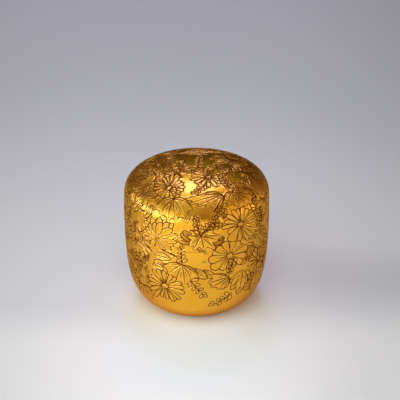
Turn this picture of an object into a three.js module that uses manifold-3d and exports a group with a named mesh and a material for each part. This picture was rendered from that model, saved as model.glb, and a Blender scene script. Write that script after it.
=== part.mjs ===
// A tea caddy in the rounded natsume form: gilt outside, with a plain pewter collar and guide ring within.
// Millimetres, +Z up. The origin is the centre of the foot, on the surface that the caddy stands on.
import * as THREE from "three";
import { mergeVertices } from "three/addons/utils/BufferGeometryUtils.js";
import Module from "manifold-3d";

const wasm = await Module();
wasm.setup();

// Outside form: a slightly bowed wall, a crown above it and a foot curve below it
const overallHeight = 67.2;
const girthRadius = 33;
const girthHeight = 40.2;
const wallBow = 0.41;
const wallHalfHeight = 14.2;
const shoulderPull = 9.9;
const crownPull = 19;
const heelPull = 14.7;
const footPull = 9.4;
const footRadius = 21.5;
const footLift = 0.4;
const footAngle = THREE.MathUtils.degToRad(32);

// Sheet, seam and fits
const seamHeight = 40.8;
const shellWall = 1.2;
const solderGap = 0.1;
const slidingClearance = 0.1;

// Collar that stands in the mouth, and the ring inside the lid that runs on it
const collarWall = 0.9;
const collarRise = 7.8;
const collarSeatDepth = 7;
const collarLedgeDrop = 0.3;
const collarLead = 0.35;
const guideWall = 0.8;
const guideHeight = 8.6;
const guideSetback = 0.3;
const guideLead = 0.3;

// Foot ring and base plate
const footRingHeight = 1.6;
const footRingWall = 1;
const footFlangeInset = 0.8;
const plateThickness = 1.1;
const panelSide = 11;
const panelDepth = 0.35;
const cutOverrun = 1;

// Steps of the round and curved surfaces
const turnSteps = 72;
const crownSteps = 14;
const wallSteps = 4;
const heelSteps = 12;
const innerStepShare = 0.6;

const gilt = new THREE.MeshStandardMaterial({ color: 0xd9a032, roughness: 0.3, metalness: 1 });
const pewter = new THREE.MeshStandardMaterial({ color: 0x9b9c9a, roughness: 0.42, metalness: 1 });

const point = (radius, height) => new THREE.Vector2(radius, height);

// The bowed wall is a parabola about the girth.
const wallRadius = (z) => girthRadius - wallBow * ((z - girthHeight) / wallHalfHeight) ** 2;
const wallSlope = (z) => (-2 * wallBow * (z - girthHeight)) / wallHalfHeight ** 2;

/** The wall between two heights, as a curve. */
class WallCurve extends THREE.Curve {
  constructor(low, high) {
    super();
    this.low = low;
    this.high = high;
  }
  getPoint(t, target = new THREE.Vector2()) {
    const z = THREE.MathUtils.lerp(this.low, this.high, t);
    return target.set(wallRadius(z), z);
  }
}

/** From the foot's edge up to the wall. */
function heelCurve() {
  const top = girthHeight - wallHalfHeight;
  return new THREE.CubicBezierCurve(
    point(footRadius, footLift),
    point(footRadius + footPull * Math.cos(footAngle), footLift + footPull * Math.sin(footAngle)),
    point(wallRadius(top) - heelPull * wallSlope(top), top - heelPull),
    point(wallRadius(top), top),
  );
}

/** From the top of the wall over the shoulder to the middle of the crown. */
function crownCurve() {
  const foot = girthHeight + wallHalfHeight;
  return new THREE.CubicBezierCurve(
    point(wallRadius(foot), foot),
    point(wallRadius(foot) + shoulderPull * wallSlope(foot), foot + shoulderPull),
    point(crownPull, overallHeight),
    point(0, overallHeight),
  );
}

/** Points along curves that follow each other, moved inwards by an inset. */
function trace(curves, inset = 0) {
  const points = [];
  curves.forEach(([curve, steps], i) => {
    for (let k = i ? 1 : 0; k <= steps; k++) {
      const along = curve.getTangent(k / steps);
      points.push(curve.getPoint(k / steps).add(point(-along.y, along.x).multiplyScalar(inset)));
    }
  });
  return points;
}

const fewer = (curves) => curves.map(([curve, steps]) => [curve, Math.ceil(steps * innerStepShare)]);

/** A solid turned about the Z axis from an outline that runs round it. */
function turned(outline, closed = true) {
  const points = closed ? [...outline, outline[0].clone()] : outline;
  return new THREE.LatheGeometry(points, turnSteps).rotateX(Math.PI / 2);
}

function named(name, geometry, material) {
  const mesh = new THREE.Mesh(geometry, material);
  mesh.name = name;
  return mesh;
}

function solidOf(geometry) {
  const bare = geometry.clone().deleteAttribute("normal").deleteAttribute("uv");
  const merged = mergeVertices(bare);
  return new wasm.Manifold(
    new wasm.Mesh({
      numProp: 3,
      vertProperties: merged.getAttribute("position").array,
      triVerts: new Uint32Array(merged.index.array),
    }),
  );
}

function geometryOf(solid) {
  const mesh = solid.getMesh();
  return new THREE.BufferGeometry()
    .setAttribute("position", new THREE.BufferAttribute(mesh.vertProperties, mesh.numProp))
    .setIndex(new THREE.BufferAttribute(mesh.triVerts, 1));
}

// Inside faces of the two shells
const bodyCurves = [
  [heelCurve(), heelSteps],
  [new WallCurve(girthHeight - wallHalfHeight, seamHeight), wallSteps],
];
const lidCurves = [
  [new WallCurve(seamHeight, girthHeight + wallHalfHeight), wallSteps],
  [crownCurve(), crownSteps],
];
const openingRadius = footRadius - shellWall / Math.sin(footAngle);
const bodyInside = [point(openingRadius, footLift), ...trace(fewer(bodyCurves), shellWall)];
bodyInside.at(-1).y = seamHeight;
const lidInside = trace(fewer(lidCurves), shellWall);
lidInside[0].y = seamHeight;
lidInside.at(-1).x = 0;

/** Radius at a height of an inside face, given as its points from the bottom up. */
function radiusAt(face, z) {
  const above = Math.max(1, face.findIndex((p) => p.y >= z));
  const [a, b] = [face[above - 1], face[above]];
  return THREE.MathUtils.mapLinear(z, a.y, b.y, a.x, b.x);
}

/** Outer radius of a straight ring that is soldered inside a face between two heights. */
const ringRadius = (face, low, high) => Math.min(radiusAt(face, low), radiusAt(face, high)) - solderGap;

// The lid's ring fits its skirt, the collar's neck fits that ring, and the collar's seat fits the body.
const guideBottom = seamHeight + guideSetback;
const guideTop = guideBottom + guideHeight;
const guideOuter = ringRadius(lidInside, guideBottom, guideTop);
const guideInner = guideOuter - guideWall;
const neckOuter = guideInner - slidingClearance;
const neckInner = neckOuter - collarWall;
const seatBottom = seamHeight - collarSeatDepth;
const seatOuter = ringRadius(bodyInside, seatBottom, seamHeight);

/** Crown and skirt of the lid, spun from one sheet. */
function lidShell() {
  return named("lid_shell", turned([...lidInside.toReversed(), ...trace(lidCurves)], false), gilt);
}

/** Ring soldered inside the lid's skirt, which slides on the collar. */
function lidGuideRing() {
  const outline = [
    point(guideInner + guideLead, guideBottom),
    point(guideOuter, guideBottom),
    point(guideOuter, guideTop),
    point(guideInner, guideTop),
    point(guideInner, guideBottom + guideLead),
  ];
  return named("lid_guide_ring", turned(outline), pewter);
}

/** Wall of the body from the foot's edge to the seam. */
function bodyShell() {
  return named("body_shell", turned([...trace(bodyCurves), ...bodyInside.toReversed()]), gilt);
}

/** Collar with a seat soldered in the mouth and a neck that stands up into the lid. */
function mouthCollar() {
  const ledge = seamHeight - collarLedgeDrop;
  const top = seamHeight + collarRise;
  const outline = [
    point(seatOuter - collarWall, seatBottom),
    point(seatOuter, seatBottom),
    point(seatOuter, ledge),
    point(neckOuter, ledge),
    point(neckOuter, top - collarLead),
    point(neckOuter - collarLead, top),
    point(neckInner, top),
    point(neckInner, ledge - collarWall),
    point(seatOuter - collarWall, ledge - collarWall),
  ];
  return named("mouth_collar", turned(outline), pewter);
}

/** Ring that the caddy stands on, with a flange under the shell's edge. */
function footRing() {
  const outer = openingRadius - solderGap;
  const outline = [
    point(outer - footRingWall, 0),
    point(footRadius - footFlangeInset, 0),
    point(footRadius - footFlangeInset, footLift),
    point(outer, footLift),
    point(outer, footRingHeight),
    point(outer - footRingWall, footRingHeight),
  ];
  return named("foot_ring", turned(outline), gilt);
}

/** Plate that closes the body, with a square panel sunk in the middle of its underside. */
function basePlate() {
  const top = footRingHeight + plateThickness;
  const edgeGap = solderGap / Math.sin(footAngle);
  const disc = turned(
    [
      point(0, footRingHeight),
      point(radiusAt(bodyInside, footRingHeight) - edgeGap, footRingHeight),
      point(radiusAt(bodyInside, top) - edgeGap, top),
      point(0, top),
    ],
    false,
  );
  const panel = new THREE.BoxGeometry(panelSide, panelSide, panelDepth + cutOverrun);
  panel.translate(0, 0, footRingHeight + (panelDepth - cutOverrun) / 2);
  return named("base_plate", geometryOf(solidOf(disc).subtract(solidOf(panel))), gilt);
}

const caddyBody = new THREE.Group();
caddyBody.add(bodyShell(), mouthCollar(), footRing(), basePlate());
const lid = new THREE.Group();
lid.add(lidShell(), lidGuideRing());
const caddy = new THREE.Group();
caddy.add(caddyBody, lid);

export default caddy;
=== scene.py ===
"""A round tea caddy of gilt pewter, engraved all over with chrysanthemums, paulownia and leaves.

The lid and the body are made as an engraver makes them. Each figure is drawn in a plane of its own, laid
over the curved surface, hidden where another figure lies in front of it, and its lines are sunk into the
mesh as V-shaped cuts with a raised burr. Drawing is in millimetres, and meshes are written in metres. An
azimuth is measured about the Z axis from the front (-Y) towards +X, and an arc along the outside from the
middle of the crown.
"""
import logging
import math
from collections.abc import Iterable, Sequence
from dataclasses import dataclass, field
from enum import Enum, IntEnum

import bpy
import numpy as np
from mathutils.geometry import delaunay_2d_cdt
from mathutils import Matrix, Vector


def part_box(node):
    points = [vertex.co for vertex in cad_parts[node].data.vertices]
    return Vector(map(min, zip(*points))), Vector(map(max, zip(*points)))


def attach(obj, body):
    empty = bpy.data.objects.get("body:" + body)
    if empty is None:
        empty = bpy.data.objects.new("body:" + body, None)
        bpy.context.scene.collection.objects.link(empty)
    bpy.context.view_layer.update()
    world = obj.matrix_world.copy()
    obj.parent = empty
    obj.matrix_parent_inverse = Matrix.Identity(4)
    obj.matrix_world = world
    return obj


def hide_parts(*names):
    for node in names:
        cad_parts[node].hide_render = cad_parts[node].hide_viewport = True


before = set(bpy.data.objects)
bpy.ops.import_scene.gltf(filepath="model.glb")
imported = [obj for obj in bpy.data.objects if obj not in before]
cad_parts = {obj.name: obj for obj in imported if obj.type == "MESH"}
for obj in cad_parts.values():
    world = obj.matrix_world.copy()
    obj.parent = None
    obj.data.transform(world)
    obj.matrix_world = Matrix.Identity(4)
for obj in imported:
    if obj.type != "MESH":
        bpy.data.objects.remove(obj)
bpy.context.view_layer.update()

LOG = logging.getLogger("tea_caddy")
MM = 0.001
COLUMNS = 216  # vertices round each turned surface
OPEN_SURFACE = 2.0  # groove mark away from any cut
TINY = 1e-9  # stands in for a length of zero that something is divided by
Array = np.ndarray
Colour = tuple[float, float, float, float]
Socket = bpy.types.NodeSocket
Span = tuple[float, ...]  # two ends of a value, and what they become where that isn't 0 and 1
Curve = tuple[tuple[float, ...], tuple[float, ...]]  # points along a value, and what it becomes at each


class Slot(Enum):
    """The two finishes of the record."""

    GILT = "gilt"
    PEWTER = "pewter"


class Mark(Enum):
    """Vertex attributes that the finishes read."""

    GROOVE = "groove"  # 0 at the bottom of a cut, 1 at its edge, 2 beyond its burr
    RUB = "rub"  # 1 on an edge that hands rub, 0 on open surface


class Side(IntEnum):
    """Which of a piece's materials a face takes: the gilt or only one, or the bare one."""

    OUTER = 0
    BARE = 1


def box_mm(node: str) -> tuple[Array, Array]:
    """Lowest and highest corner of a CAD node, in millimetres."""
    low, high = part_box(node)
    return np.array(low) / MM, np.array(high) / MM


def round_points(azimuth: Array, radius: Array, height: Array) -> Array:
    """Points at azimuths, radii and heights, as rows of x, y and z."""
    azimuth, radius, height = np.broadcast_arrays(azimuth, radius, height)
    return np.stack([radius * np.sin(azimuth), -radius * np.cos(azimuth), height], -1)


def round_azimuths(count: int) -> Array:
    """Azimuths at even steps all round."""
    return np.arange(count) * 2 * math.pi / count


def bearing_of(spots: Array) -> Array:
    """Azimuth of each spot."""
    return np.arctan2(spots[:, 0], -spots[:, 1])


def unit(rows: Array) -> Array:
    """Rows scaled to length one."""
    return rows / np.maximum(np.linalg.norm(rows, axis=-1, keepdims=True), TINY)


def to_right(along: Array) -> Array:
    """Flat directions, each turned a quarter to its right."""
    return np.stack([along[..., 1], -along[..., 0]], -1)


def rows_at(marks: Array | float, along: Array, rows: Array) -> Array:
    """Rows of a table at marks along it, each column on its own."""
    return np.stack([np.interp(marks, along, column) for column in rows.T], -1)


def closed_links(first: int, count: int) -> Array:
    """Links round a row of vertices, from the last to the first too."""
    index = np.arange(first, first + count)
    return np.stack([index, np.roll(index, -1)], -1)


def triangulated(spots: Array, links: Array) -> tuple[Array, Array, list[list[int]]]:
    """Joins spots of a flat map with triangles whose edges hold all the links.

    Args:
        spots: The spots.
        links: Pairs of their indices.

    Returns:
        The net's spots, its triangles, and the given spots that each of its own stands for.
    """
    merged_within = 1e-5
    flat, _, faces, sources = delaunay_2d_cdt(spots.tolist(), links.tolist(), [], 0, merged_within, True)[:4]
    return np.array([tuple(spot) for spot in flat]), np.array(faces), sources


def bezier(corners: Sequence[tuple[float, float]], share: Array) -> Array:
    """A cubic curve through four control points.

    Args:
        corners: The control points.
        share: Shares of the way along the curve.

    Returns:
        One point for each share.
    """
    a, b, c, d = (np.array(corner, float) for corner in corners)
    t = share[:, None]
    return (1 - t) ** 3 * a + 3 * (1 - t) ** 2 * t * b + 3 * (1 - t) * t**2 * c + t**3 * d


@dataclass
class Outline:
    """Outside of the closed caddy in section, as tables along the arc from the crown's middle to the foot.

    A cubic curve makes the crown, a parabola about the girth the bowed wall, and a second cubic curve the
    heel. `inset` moves the whole surface inwards, so that what stands on it keeps within the form.
    """

    overall_height: float
    seam_height: float
    inset: float = 0.025
    girth_radius: float = 33.0
    girth_height: float = 40.2
    wall_bow: float = 0.41
    wall_half_height: float = 14.2
    shoulder_pull: float = 9.9
    crown_pull: float = 19.0
    heel_pull: float = 14.7
    foot_pull: float = 9.4
    foot_radius: float = 21.5
    foot_lift: float = 0.4
    foot_angle: float = math.radians(32)
    samples: int = 500
    core_height: float = 34.0
    arc: Array = field(init=False)
    section: Array = field(init=False)
    normal: Array = field(init=False)

    def __post_init__(self) -> None:
        """Fills the tables of arc, section points and outward normals."""
        low = self.girth_height - self.wall_half_height
        high = self.girth_height + self.wall_half_height
        share = np.linspace(0, 1, self.samples)
        wall = np.linspace(high, low, self.samples)
        shoulder, hip = self.wall_radius(high), self.wall_radius(low)
        crown = bezier([
            (0, self.overall_height),
            (self.crown_pull, self.overall_height),
            (shoulder + self.shoulder_pull * self.wall_slope(high), high + self.shoulder_pull),
            (shoulder, high),
        ], share)
        heel = bezier([
            (hip, low),
            (hip - self.heel_pull * self.wall_slope(low), low - self.heel_pull),
            (self.foot_radius + self.foot_pull * math.cos(self.foot_angle),
             self.foot_lift + self.foot_pull * math.sin(self.foot_angle)),
            (self.foot_radius, self.foot_lift),
        ], share)
        section = np.vstack([crown, np.stack([self.wall_radius(wall), wall], -1)[1:], heel[1:]])
        self.arc = self.arc_of(section)
        self.normal = -to_right(unit(np.gradient(section, self.arc, axis=0)))
        self.section = section - self.normal * self.inset
        self.section[0, 0] = 0

    def wall_radius(self, height: float | Array) -> float | Array:
        """Radius of the bowed wall at a height."""
        return self.girth_radius - self.wall_bow * ((height - self.girth_height) / self.wall_half_height) ** 2

    def wall_slope(self, height: float) -> float:
        """Change of the wall's radius with height."""
        return -2 * self.wall_bow * (height - self.girth_height) / self.wall_half_height**2

    @staticmethod
    def arc_of(section: Array) -> Array:
        """Length along a line of section points, from its first."""
        return np.concatenate([[0], np.cumsum(np.hypot(*np.diff(section, axis=0).T))])

    def seam_arc(self) -> float:
        """Arc of the seam."""
        return float(np.interp(-self.seam_height, -self.section[:, 1], self.arc))

    def spot(self, arc: Array | float) -> Array:
        """Radius and height at each arc."""
        return rows_at(arc, self.arc, self.section)

    def facing(self, arc: Array | float) -> Array:
        """Radial and upward part of the outward normal at each arc."""
        return rows_at(arc, self.arc, self.normal)

    def seat(self, spots: Array) -> Array:
        """Arcs of the surface under spots near it, seen from a core point on the axis."""
        angle = np.arctan2(spots[:, 2] - self.core_height, np.hypot(spots[:, 0], spots[:, 1]))
        table = np.arctan2(self.section[:, 1] - self.core_height, self.section[:, 0])
        return np.interp(-angle, -table, self.arc)


@dataclass
class Place:
    """Where a figure sits: its anchor on the surface, and the turn of its own up direction from the crown.

    The turn is in degrees, clockwise as seen from outside.
    """

    azimuth: float
    arc: float
    turn: float = 0.0


@dataclass
class Chart:
    """A flat map of the outside that keeps angles, with the crown's middle at its own middle.

    A place at arc s lies exp(integral of ds / radius) from the middle, at its own azimuth. Near the middle
    that integral is taken as ln(s) and a small rest, because the radius goes to zero there.
    """

    outline: Outline
    walk_steps: int = 16
    reach: Array = field(init=False)
    stretch: Array = field(init=False)

    def __post_init__(self) -> None:
        """Fills the tables of reach from the middle and of millimetres per unit of the map."""
        arc, radius = self.outline.arc[1:], self.outline.section[1:, 0]
        rest = 1 / radius - 1 / arc
        steps = np.diff(arc) * (rest[1:] + rest[:-1]) / 2
        reach = arc * np.exp(np.concatenate([[0], np.cumsum(steps)]))
        seam = self.outline.seam_arc()
        reach *= self.outline.girth_radius / np.interp(seam, arc, reach)
        self.reach = np.concatenate([[0], reach])
        self.stretch = np.concatenate([[radius[0] / reach[0]], radius / reach])

    def flat(self, azimuth: Array, arc: Array) -> Array:
        """Spots of the map for places on the surface."""
        reach = np.interp(arc, self.outline.arc, self.reach)
        return np.stack([reach * np.sin(azimuth), -reach * np.cos(azimuth)], -1)

    def arc(self, flat: Array) -> Array:
        """Arcs of spots on the map."""
        return np.interp(np.hypot(flat[:, 0], flat[:, 1]), self.reach, self.outline.arc)

    def scale(self, arc: Array) -> Array:
        """Millimetres on the surface per unit of the map."""
        return np.interp(arc, self.outline.arc, self.stretch)

    def lay(self, place: Place, drawn: Array) -> Array:
        """Lays a flat drawing over the surface.

        Each point walks from the anchor along the straightest line over the surface, in small steps that are
        seated on it again, so that its distance and heading from the anchor stay as drawn.

        Args:
            place: The anchor and turn.
            drawn: Points in millimetres about the anchor, +Y up.

        Returns:
            The points on the map.
        """
        azimuth, turn = math.radians(place.azimuth), math.radians(place.turn)
        section = self.outline.spot(place.arc)
        normal = self.outline.facing(place.arc)
        right = np.array([math.cos(azimuth), math.sin(azimuth), 0.0])
        up = round_points(azimuth, -normal[1], normal[0])
        x = drawn[:, 0] * math.cos(turn) + drawn[:, 1] * math.sin(turn)
        y = drawn[:, 1] * math.cos(turn) - drawn[:, 0] * math.sin(turn)
        step = (x[:, None] * right + y[:, None] * up) / self.walk_steps
        length = np.linalg.norm(step, axis=1, keepdims=True)
        spots = np.repeat(round_points(azimuth, section[0], section[1])[None], len(drawn), 0)
        for _ in range(self.walk_steps):
            spots = spots + step
            arc = self.outline.seat(spots)
            bearing = bearing_of(spots)
            spots = round_points(bearing, *self.outline.spot(arc).T)
            normals = round_points(bearing, *self.outline.facing(arc).T)
            step = step - (step * normals).sum(1, keepdims=True) * normals
            step *= length / np.maximum(np.linalg.norm(step, axis=1, keepdims=True), TINY)
        return self.flat(bearing, arc)


class Pass(Enum):
    """Ways to lead the graver.

    Each is the share of the full width in a line's middle, and the shares of that where it enters and leaves.
    """

    HEART_RING = (0.9, 0.9, 0.9)
    HEART_ARC = (0.6, 0.55, 0.35)
    PETAL_EDGE = (1.0, 0.55, 0.5)
    PETAL_LINE = (0.75, 0.8, 0.25)
    FAN_EDGE = (0.85, 0.5, 0.5)
    FAN_BASE = (1.25, 0.9, 0.5)
    FAN_RIB = (1.0, 0.8, 0.3)
    FAN_VEIN = (0.65, 0.7, 0.25)
    LOBE_EDGE = (1.0, 0.45, 0.45)
    LOBE_RIB = (1.0, 1.0, 0.3)
    LOBE_VEIN = (0.7, 0.8, 0.25)
    LEAF_EDGE = (1.05, 0.6, 0.5)
    LEAF_RIB = (0.95, 0.9, 0.3)
    LEAF_VEIN = (0.75, 0.7, 0.25)
    STEM = (1.0, 0.9, 0.5)
    BUD = (0.95, 0.7, 0.7)
    BLADE = (1.0, 0.6, 0.6)
    STROKE = (1.0, 0.55, 0.35)


@dataclass
class Cut:
    """One pass of the graver along a line in millimetres."""

    points: Array
    lead: Pass

    def sampled(self, spacing: float, swollen: float = 0.25, narrowing: float = 0.6) -> tuple[Array, Array]:
        """The line at even spacing, and the tool's share of width at each point.

        Args:
            spacing: Distance between points, in millimetres.
            swollen: Share of the way at which the full width is reached.
            narrowing: Share of the way from which it narrows again.

        Returns:
            The points, and a width share for each.
        """
        weight, entry, leave = self.lead.value
        along = Outline.arc_of(self.points)
        share = np.linspace(0, 1, max(3, math.ceil(along[-1] / spacing) + 1))
        swell = np.interp(share, [0, swollen], [entry, 1])
        swell = np.minimum(swell, np.interp(share, [narrowing, 1], [1, leave]))
        return rows_at(share * along[-1], along, self.points), weight * swell


@dataclass
class Part:
    """A petal, lobe, bud or loose line: what it covers, and the cuts that draw it."""

    cuts: list[Cut]
    cover: Array | None = None


@dataclass
class Lobe:
    """A petal, leaf or bud about a bending midline.

    The midline leaves its root at `angle` from up, clockwise, and turns by `bend` on its way, a little more
    than evenly. The half-width at share u is width / 2 times u ** rise * (1 - u ** fall) ** tip, scaled so
    that its greatest value is one.
    """

    angle: float
    reach: float
    width: float
    bend: float = 0.0
    start: float = 0.0
    root: tuple[float, float] = (0.0, 0.0)
    rise: float = 0.8
    fall: float = 4.0
    tip: float = 0.5
    samples: int = 33

    def midline(self) -> Array:
        """Points of the midline from the root to the tip."""
        share = np.linspace(0, 1, self.samples)
        heading = np.radians(self.angle + self.bend * (share - 0.5) * 1.2)
        length = (self.reach - self.start) / (self.samples - 1)
        steps = np.stack([np.sin(heading), np.cos(heading)], -1)[:-1] * length
        angle = math.radians(self.angle)
        first = self.start * np.array([math.sin(angle), math.cos(angle)])
        return np.array(self.root) + first + np.vstack([[0, 0], np.cumsum(steps, 0)])

    def midrib(self, before_tip: int = 4) -> Array:
        """The midline, with a few points before the tip left off."""
        return self.midline()[: self.samples - before_tip]

    def edge(self, side: float) -> Array:
        """A line up one side.

        Args:
            side: Share of the half-width to the right of the midline, negative to the left.

        Returns:
            Its points from the root to the tip.
        """
        share = np.linspace(0, 1, self.samples)
        half = share**self.rise * (1 - share**self.fall) ** self.tip
        middle = self.midline()
        across = to_right(unit(np.gradient(middle, axis=0)))
        return middle + across * (side * self.width / 2 * half / half.max())[:, None]

    def cover(self) -> Array:
        """Closed outline."""
        return np.vstack([self.edge(-1), self.edge(1)[-2:0:-1]])

    def rim(self, open_share: float) -> Array:
        """Line up the left edge, round the tip and down the right edge, open at the root by a share."""
        skip = round(open_share * self.samples)
        return np.vstack([self.edge(-1)[skip:], self.edge(1)[-2 : skip - 1 if skip else None : -1]])

    def vein(self, share: float, side: float, run: float = 0.24) -> Array:
        """A side vein that curves from the midline towards the edge.

        Args:
            share: Where it leaves the midline.
            side: Share of the half-width where it ends, negative to the left.
            run: How much further up the lobe it ends.

        Returns:
            Its points.
        """
        first, last = (min(self.samples - 1, round(s * (self.samples - 1))) for s in (share, share + run))
        sides = np.linspace(0, 1, last - first + 1)[:, None] ** 0.8
        return self.midline()[first : last + 1] * (1 - sides) + self.edge(side)[first : last + 1] * sides


@dataclass
class Flower:
    """An open chrysanthemum: a heart, and petals round it, each behind the ones before.

    Attributes:
        petals: Angle from up, clockwise, reach and width of each petal, front to back.
        heart: Half-width and half-height of the heart.
        droop: How much the petals at the sides bend downwards, in degrees.
        seed: Seed of the petals' small differences.
        fall: How late the petals narrow: 6 for round tips, 2 for pointed ones.
        sway: How far a petal's bend may differ either way, in degrees.
        lined: Share of the petals with a line along them.
    """

    petals: Sequence[tuple[float, float, float]]
    heart: tuple[float, float] = (1.15, 1.0)
    droop: float = 12.0
    seed: int = 1
    fall: float = 6.0
    sway: float = 8.0
    lined: float = 0.3

    def parts(self) -> list[Part]:
        """The heart and the petals."""
        chance = np.random.default_rng(self.seed)
        return [self.heart_part(), *(self.petal(*petal, chance) for petal in self.petals)]

    def heart_part(self) -> Part:
        """The heart's ring with a short arc inside."""
        turn = np.linspace(0, 2 * math.pi, 25)
        ring = np.stack([self.heart[0] * np.cos(turn), self.heart[1] * np.sin(turn)], -1)
        return Part([Cut(ring, Pass.HEART_RING), Cut(0.5 * ring[14:22], Pass.HEART_ARC)], ring)

    def petal(self, angle: float, reach: float, width: float, chance: np.random.Generator) -> Part:
        """One petal, now and then with a line along it.

        Args:
            angle: Its direction from up, clockwise, in degrees.
            reach: Its length from the heart's middle.
            width: Its greatest width.
            chance: Source of its small differences.

        Returns:
            The petal's part.
        """
        lobe = Lobe(
            angle=angle,
            reach=reach,
            width=width,
            bend=self.droop * math.sin(math.radians(angle)) + chance.uniform(-self.sway, self.sway),
            start=min(self.heart) * 0.9,
            rise=0.9,
            fall=self.fall,
            tip=0.5 if self.fall > 4 else 0.8,
        )
        cuts = [Cut(lobe.rim(0.06), Pass.PETAL_EDGE)]
        if chance.random() < self.lined:
            cuts.append(Cut(lobe.midline()[3 : chance.integers(13, 24)], Pass.PETAL_LINE))
        return Part(cuts, lobe.cover())


@dataclass
class FanLeaf:
    """A leaf whose ribs spread from its joint to one point each, with a notched edge between the points.

    From point to point the edge's distance from the joint goes evenly from one reach to the next, and dips
    by the share `notch` halfway, in a sharp valley. Three small scallops run along it, as half waves of a
    sine. The ribs bow away from the leaf's middle, and every second one starts a little way from the joint.

    Attributes:
        tips: Angle from up, clockwise, and reach of each point, in order round the leaf.
        notch: How far the edge dips between points, as a share of the reach.
        bow: How much the outermost ribs bow outwards, in degrees.
        scallop: Height of the small scallops, as a share of the reach.
        base_bow: How many times as much the base edges bow.
        full_notch: Angle between points from which the notch is full.
        vein_gap: Angle between points past which a short vein stands between them.
    """

    tips: Sequence[tuple[float, float]]
    notch: float = 0.24
    bow: float = 26.0
    scallop: float = 0.06
    base_bow: float = 2.4
    full_notch: float = 26.0
    vein_gap: float = 20.0

    @staticmethod
    def polar(angle: Array | float, reach: Array | float) -> Array:
        """Points at angles from up, clockwise, in degrees, and distances from the joint."""
        turn = np.radians(angle)
        return np.stack([np.sin(turn) * reach, np.cos(turn) * reach], -1)

    def rib(self, angle: float, reach: float, strength: float = 1.0) -> Array:
        """A rib from the joint, on a quadratic curve that bows away from the leaf's middle.

        Args:
            angle: Direction of its tip from up, clockwise, in degrees.
            reach: Distance of its tip.
            strength: How many times as much it bows.

        Returns:
            Its points.
        """
        middle = (self.tips[0][0] + self.tips[-1][0]) / 2
        half = (self.tips[-1][0] - self.tips[0][0]) / 2
        lean = self.bow * strength * ((angle - middle) / half)
        t = np.linspace(0, 1, 21)[:, None]
        return 2 * (1 - t) * t * self.polar(angle + lean, 0.55 * reach) + t**2 * self.polar(angle, reach)

    def rims(self) -> list[Array]:
        """The edge from each point to the next."""
        t = np.linspace(0, 1, 25)
        rims = []
        for (angle, reach), (next_angle, next_reach) in zip(self.tips, self.tips[1:]):
            deep = self.notch * min(1.0, (next_angle - angle) / self.full_notch)
            dip = 1 - deep * (1 - np.abs(2 * t - 1)) ** 1.15 + self.scallop * np.abs(np.sin(3 * math.pi * t))
            edge = (reach + (next_reach - reach) * t) * dip
            rims.append(self.polar(angle + (next_angle - angle) * t, edge))
        return rims

    def parts(self) -> list[Part]:
        """The leaf as one part, with ribs, edges and a short vein between far ribs."""
        rims = self.rims()
        cuts = [Cut(rim, Pass.FAN_EDGE) for rim in rims]
        cuts += [Cut(self.rib(*tip)[3 * (i % 2) : 20], Pass.FAN_RIB) for i, tip in enumerate(self.tips)]
        for (angle, reach), (next_angle, next_reach) in zip(self.tips, self.tips[1:]):
            if next_angle - angle > self.vein_gap:
                middle, near = (angle + next_angle) / 2, min(reach, next_reach) * (1 - self.notch)
                cuts.append(Cut(self.rib(middle, near)[9:18], Pass.FAN_VEIN))
        left, right = (self.rib(*tip, self.base_bow) for tip in (self.tips[0], self.tips[-1]))
        cuts += [Cut(left, Pass.FAN_BASE), Cut(right, Pass.FAN_BASE)]
        return [Part(cuts, np.vstack([left, *rims, right[::-1]]))]


@dataclass
class LobedLeaf:
    """A leaf of pointed lobes that spread from one joint, each with a midrib and side veins.

    Each lobe is given by its angle from up, clockwise, its reach, and its width, and its bend may differ by
    up to `sway` degrees either way.
    """

    lobes: Sequence[tuple[float, float, float]]
    veins: int = 3
    seed: int = 1
    sway: float = 12.0

    def parts(self) -> list[Part]:
        """The lobes in the order given, each over the next."""
        chance = np.random.default_rng(self.seed)
        return [self.lobe_part(*lobe, chance) for lobe in self.lobes]

    def lobe_part(self, angle: float, reach: float, width: float, chance: np.random.Generator) -> Part:
        """One lobe with its veins.

        Args:
            angle: Its direction from up, clockwise, in degrees.
            reach: Its length.
            width: Its greatest width.
            chance: Source of its small differences.

        Returns:
            The lobe's part.
        """
        lobe = Lobe(angle, reach, width, chance.uniform(-self.sway, self.sway), rise=0.62, fall=1.7, tip=0.85)
        cuts = [Cut(lobe.rim(0.04), Pass.LOBE_EDGE), Cut(lobe.midrib(), Pass.LOBE_RIB)]
        for share in np.linspace(0.2, 0.66, self.veins):
            for side in (-0.8, 0.8):
                cuts.append(Cut(lobe.vein(share + chance.uniform(-0.03, 0.03), side), Pass.LOBE_VEIN))
        return Part(cuts, lobe.cover())


@dataclass
class LongLeaf:
    """A long pointed leaf with veins that run along it from its foot."""

    angle: float
    reach: float
    width: float
    bend: float = 16.0
    veins: int = 1

    def parts(self) -> list[Part]:
        """The leaf as one part."""
        lobe = Lobe(self.angle, self.reach, self.width, self.bend, rise=0.62, fall=1.8, tip=0.85)
        cuts = [Cut(lobe.rim(0.02), Pass.LEAF_EDGE), Cut(lobe.midrib(), Pass.LEAF_RIB)]
        for i in range(self.veins):
            share = (i + 1) / (self.veins + 1)
            for side in (-share, share):
                cuts.append(Cut(lobe.edge(side)[3 : 22 - 3 * i], Pass.LEAF_VEIN))
        return [Part(cuts, lobe.cover())]


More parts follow.
